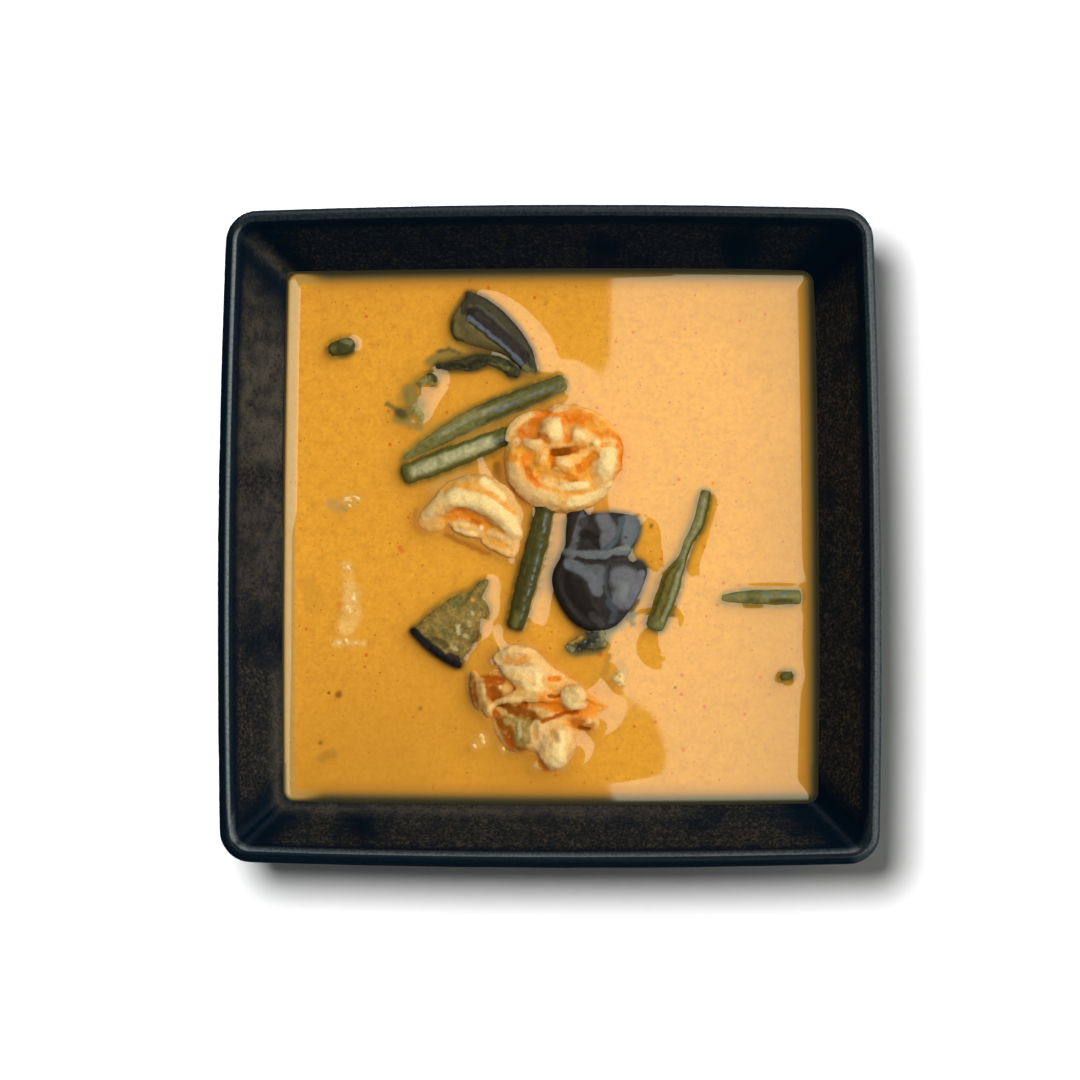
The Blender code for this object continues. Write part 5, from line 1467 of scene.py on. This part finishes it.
# ---- curds and foam that float on the curry --------------------------------------------------
# Each spot: plan place, radii and turn, in mm and degrees.
CURDS = [
    (-63.0, 11.9, 1.7, 1.0, 25), (-60.4, 12.3, 1.5, 0.8, -20), (-62.4, 9.6, 0.9, 0.8, 0),
    (-63.5, -9.6, 1.6, 1.1, 30), (-61.2, -18.6, 0.9, 2.2, -12), (-62.8, -22.4, 1.2, 1.6, 20),
    (-63.6, -32.6, 1.1, 1.3, 0), (-60.8, -33.2, 1.2, 0.6, 10), (-66.2, -33.0, 1.3, 0.5, -5),
    (-21.0, -62.6, 1.2, 2.0, 15), (-23.4, -65.0, 1.0, 1.0, 0), (-14.4, -66.0, 0.8, 0.9, 0),
]
CURD_TOP = 0.35              # from the curry's level, mm
CURD_DEPTH = 0.9


def build_curds(finish):
    forms = []
    for x, y, across, along, turn in CURDS:
        forms.append(lump((x, y, CURD_TOP - CURD_DEPTH), (across, along, CURD_DEPTH), turn))
        forms.append(lump((x + 0.5 * across, y - 0.6 * along, CURD_TOP - CURD_DEPTH - 0.1),
                          (0.7 * across, 0.6 * along, CURD_DEPTH)))
    mesh = fused("curds", None, forms, grain=0.25, soften=3)
    places = vertices(mesh)
    push(mesh, 0.12 * ripple(places, 1.0, 18.0))
    patches = smooth_step(ripple(places, 1.4, 19.0), -0.3, 0.4)
    paint(mesh, mix(np.tile(srgb(236, 178, 100), (len(places), 1)), srgb(250, 216, 152), patches))
    return add_piece("floating_curds", mesh, finish, "shrimp")


# ---- stage -----------------------------------------------------------------------------------
FLOOR_HALF = 0.65            # metres
FLOOR_GREY = 0.125           # linear


def build_floor():
    mesh = mesh_from("floor", lambda bm: bmesh.ops.create_grid(bm, x_segments=1, y_segments=1,
                                                               size=FLOOR_HALF))
    floor = bpy.data.objects.new("floor", mesh)
    bpy.context.scene.collection.objects.link(floor)
    n = Nodes(bpy.data.materials.new("floor"))
    n.set(Base_Color=(*[FLOOR_GREY] * 3, 1.0), Roughness=0.7, Specular_IOR_Level=0.0)
    mesh.materials.append(n.material)
    floor.visible_glossy = False
    return floor


def emitter(name, corners, radiance, colour):
    """A flat bright panel through corners in metres, seen by reflections and not by the camera."""
    mesh = bpy.data.meshes.new(name)
    mesh.from_pydata(corners, [], [tuple(range(len(corners)))])
    panel = bpy.data.objects.new(name, mesh)
    bpy.context.scene.collection.objects.link(panel)
    material = bpy.data.materials.new(name)
    material.use_nodes = True
    tree = material.node_tree
    tree.nodes.clear()
    glow = tree.nodes.new("ShaderNodeEmission")
    glow.inputs["Strength"].default_value = radiance
    glow.inputs["Color"].default_value = (*colour, 1.0)
    out = tree.nodes.new("ShaderNodeOutputMaterial")
    tree.links.new(glow.outputs[0], out.inputs[0])
    mesh.materials.append(material)
    panel.visible_camera = False
    panel.visible_shadow = False
    return panel


WINDOW_HEIGHT = 2.0          # metres above the curry
WINDOW_RADIANCE = 4.3
# The window's outline as it lies mirrored on the curry, in mm.
WINDOW_OUTLINE = [(19.0, -40), (27.5, -50.5), (32.7, -55.7), (35.5, -63.5), (37.2, -70.2), (37.8, -92),
                  (290, -92), (290, 290), (19.5, 290)]


def build_window():
    level = CURRY_LEVEL * MM
    camera = camera_place()
    spread = WINDOW_HEIGHT / (camera.z - level)
    corners = []
    for x, y in WINDOW_OUTLINE:
        corners.append((x * MM + (x * MM - camera.x) * spread, y * MM + (y * MM - camera.y) * spread,
                        level + WINDOW_HEIGHT))
    return emitter("window", corners, WINDOW_RADIANCE, (1.0, 0.99, 0.8))


LIGHT_DISTANCE = 1.6         # metres
# Soft light on everything: name, azimuth, elevation, size in metres, radiance and colour.
SOFTBOXES = [
    ("right_softbox", 5, 42, (1.5, 1.7), 2.5, (1, 1, 1)),
    ("back_softbox", 98, 42, (1.3, 1.1), 1.5, (0.78, 0.92, 1.0)),
    ("front_left_softbox", 225, 42, (1.2, 1.0), 0.95, (1, 1, 1)),
]
# What the glaze mirrors: the same figures.
STRIPS = [
    ("right_strip", 2, 36, (1.9, 1.5), 2.6, (0.86, 0.95, 1.0)),
    ("back_strip", 92, 34, (1.9, 1.5), 2.4, (0.86, 0.95, 1.0)),
]


def softbox(name, azimuth, elevation, size, radiance, colour):
    """A soft rectangular light that faces the bowl from an azimuth and elevation in degrees."""
    data = bpy.data.lights.new(name, "AREA")
    data.shape = "RECTANGLE"
    data.size, data.size_y = size
    data.energy = radiance * math.pi * size[0] * size[1]
    data.color = colour
    light = bpy.data.objects.new(name, data)
    turn, rise = math.radians(azimuth), math.radians(elevation)
    away = Vector((math.cos(rise) * math.cos(turn), math.cos(rise) * math.sin(turn), math.sin(rise)))
    light.location = away * LIGHT_DISTANCE
    light.rotation_euler = away.to_track_quat("Z", "Y").to_euler()
    bpy.context.scene.collection.objects.link(light)
    return light


LAMP_PLACE = (-0.1085, 0.112, 0.7)           # metres, about as high as the camera
LAMP_POWER = 370.0
LAMP_RADIUS = 0.11           # metres


def shadow_lamp():
    """A lamp whose light doesn't fade with distance, so near that the shadow keeps the bowl's outline."""
    data = bpy.data.lights.new("floor_shadow", "POINT")
    data.energy = LAMP_POWER
    data.shadow_soft_size = LAMP_RADIUS
    data.use_nodes = True
    tree = data.node_tree
    shade_falloff = tree.nodes.new("ShaderNodeLightFalloff")
    shade_falloff.inputs["Strength"].default_value = 1.0
    tree.links.new(shade_falloff.outputs["Constant"], tree.nodes["Emission"].inputs["Strength"])
    lamp = bpy.data.objects.new("floor_shadow", data)
    lamp.location = LAMP_PLACE
    bpy.context.scene.collection.objects.link(lamp)
    return lamp


def shine_only_on(light, piece):
    receivers = bpy.data.collections.new("lit_by_" + light.name)
    receivers.objects.link(piece)
    light.light_linking.receiver_collection = receivers


def build_world():
    """A dim bluish room, brighter low down on the right; the camera itself sees white past the floor."""
    world = bpy.data.worlds.new("room")
    bpy.context.scene.world = world
    n = Nodes(world)
    direction = n.add("ShaderNodeTexCoord").outputs["Generated"]
    ways = n.add("ShaderNodeSeparateXYZ", {"Vector": direction}).outputs
    low = n.ramp(ways["Z"], 0.2, 0.45, 1.0, 0.0)
    across = n.math("MULTIPLY", n.ramp(ways["Y"], -0.07, 0.02), n.ramp(ways["Y"], 0.13, 0.1))
    glow = n.math("MULTIPLY", n.math("MULTIPLY", n.ramp(ways["X"], 0.35, 0.8), low), across)
    room = n.blend(glow, (0.055, 0.085, 0.11), (0.7, 0.64, 0.54))
    seen = n.add("ShaderNodeLightPath").outputs["Is Camera Ray"]
    n.link(n.blend(seen, room, (0.95, 0.95, 0.95)), n.tree.nodes["Background"].inputs["Color"])


def build_lights(floor, bowl):
    build_world()
    build_window()
    for figures in SOFTBOXES:
        softbox(*figures).visible_glossy = False
    for figures in STRIPS:
        strip = softbox(*figures)
        strip.visible_diffuse = False
        shine_only_on(strip, bowl)
    shine_only_on(shadow_lamp(), floor)


def food_finishes():
    """A finish for each slot of the pieces of food."""
    return {
        "shrimp": shrimp_material(),
        "eggplant_skin": wet_material("eggplant_skin", 0.34, 500.0, 0.03, 0.12),
        "eggplant_flesh": wet_material("eggplant_flesh", 0.34, 900.0, 0.1, 0.3),
        "green_bean": wet_material("green_bean", 0.3, 700.0, 0.03, 0.18, sheen=0.14),
        "pale_greens": wet_material("pale_greens", 0.34, 900.0, 0.08, 0.3),
        "thai_basil": wet_material("thai_basil", 0.4, 1100.0, 0.08, 0.3),
    }


def main():
    add_camera()
    bpy.context.scene.view_settings.view_transform = "Standard"
    build_lights(build_floor(), build_bowl(glaze_material()))
    finishes = food_finishes()
    pieces = [build_shrimp(name, finishes["shrimp"]) for name in SHRIMPS]
    pieces += [build_eggplant(name, finishes) for name in EGGPLANTS]
    pieces += [build_bean(name, finishes["green_bean"]) for name in BEANS]
    pieces += [build_small_piece(name, finishes) for name in SMALL_PIECES]
    pieces.append(build_curds(finishes["shrimp"]))
    build_curry(curry_material(), pieces)


main()
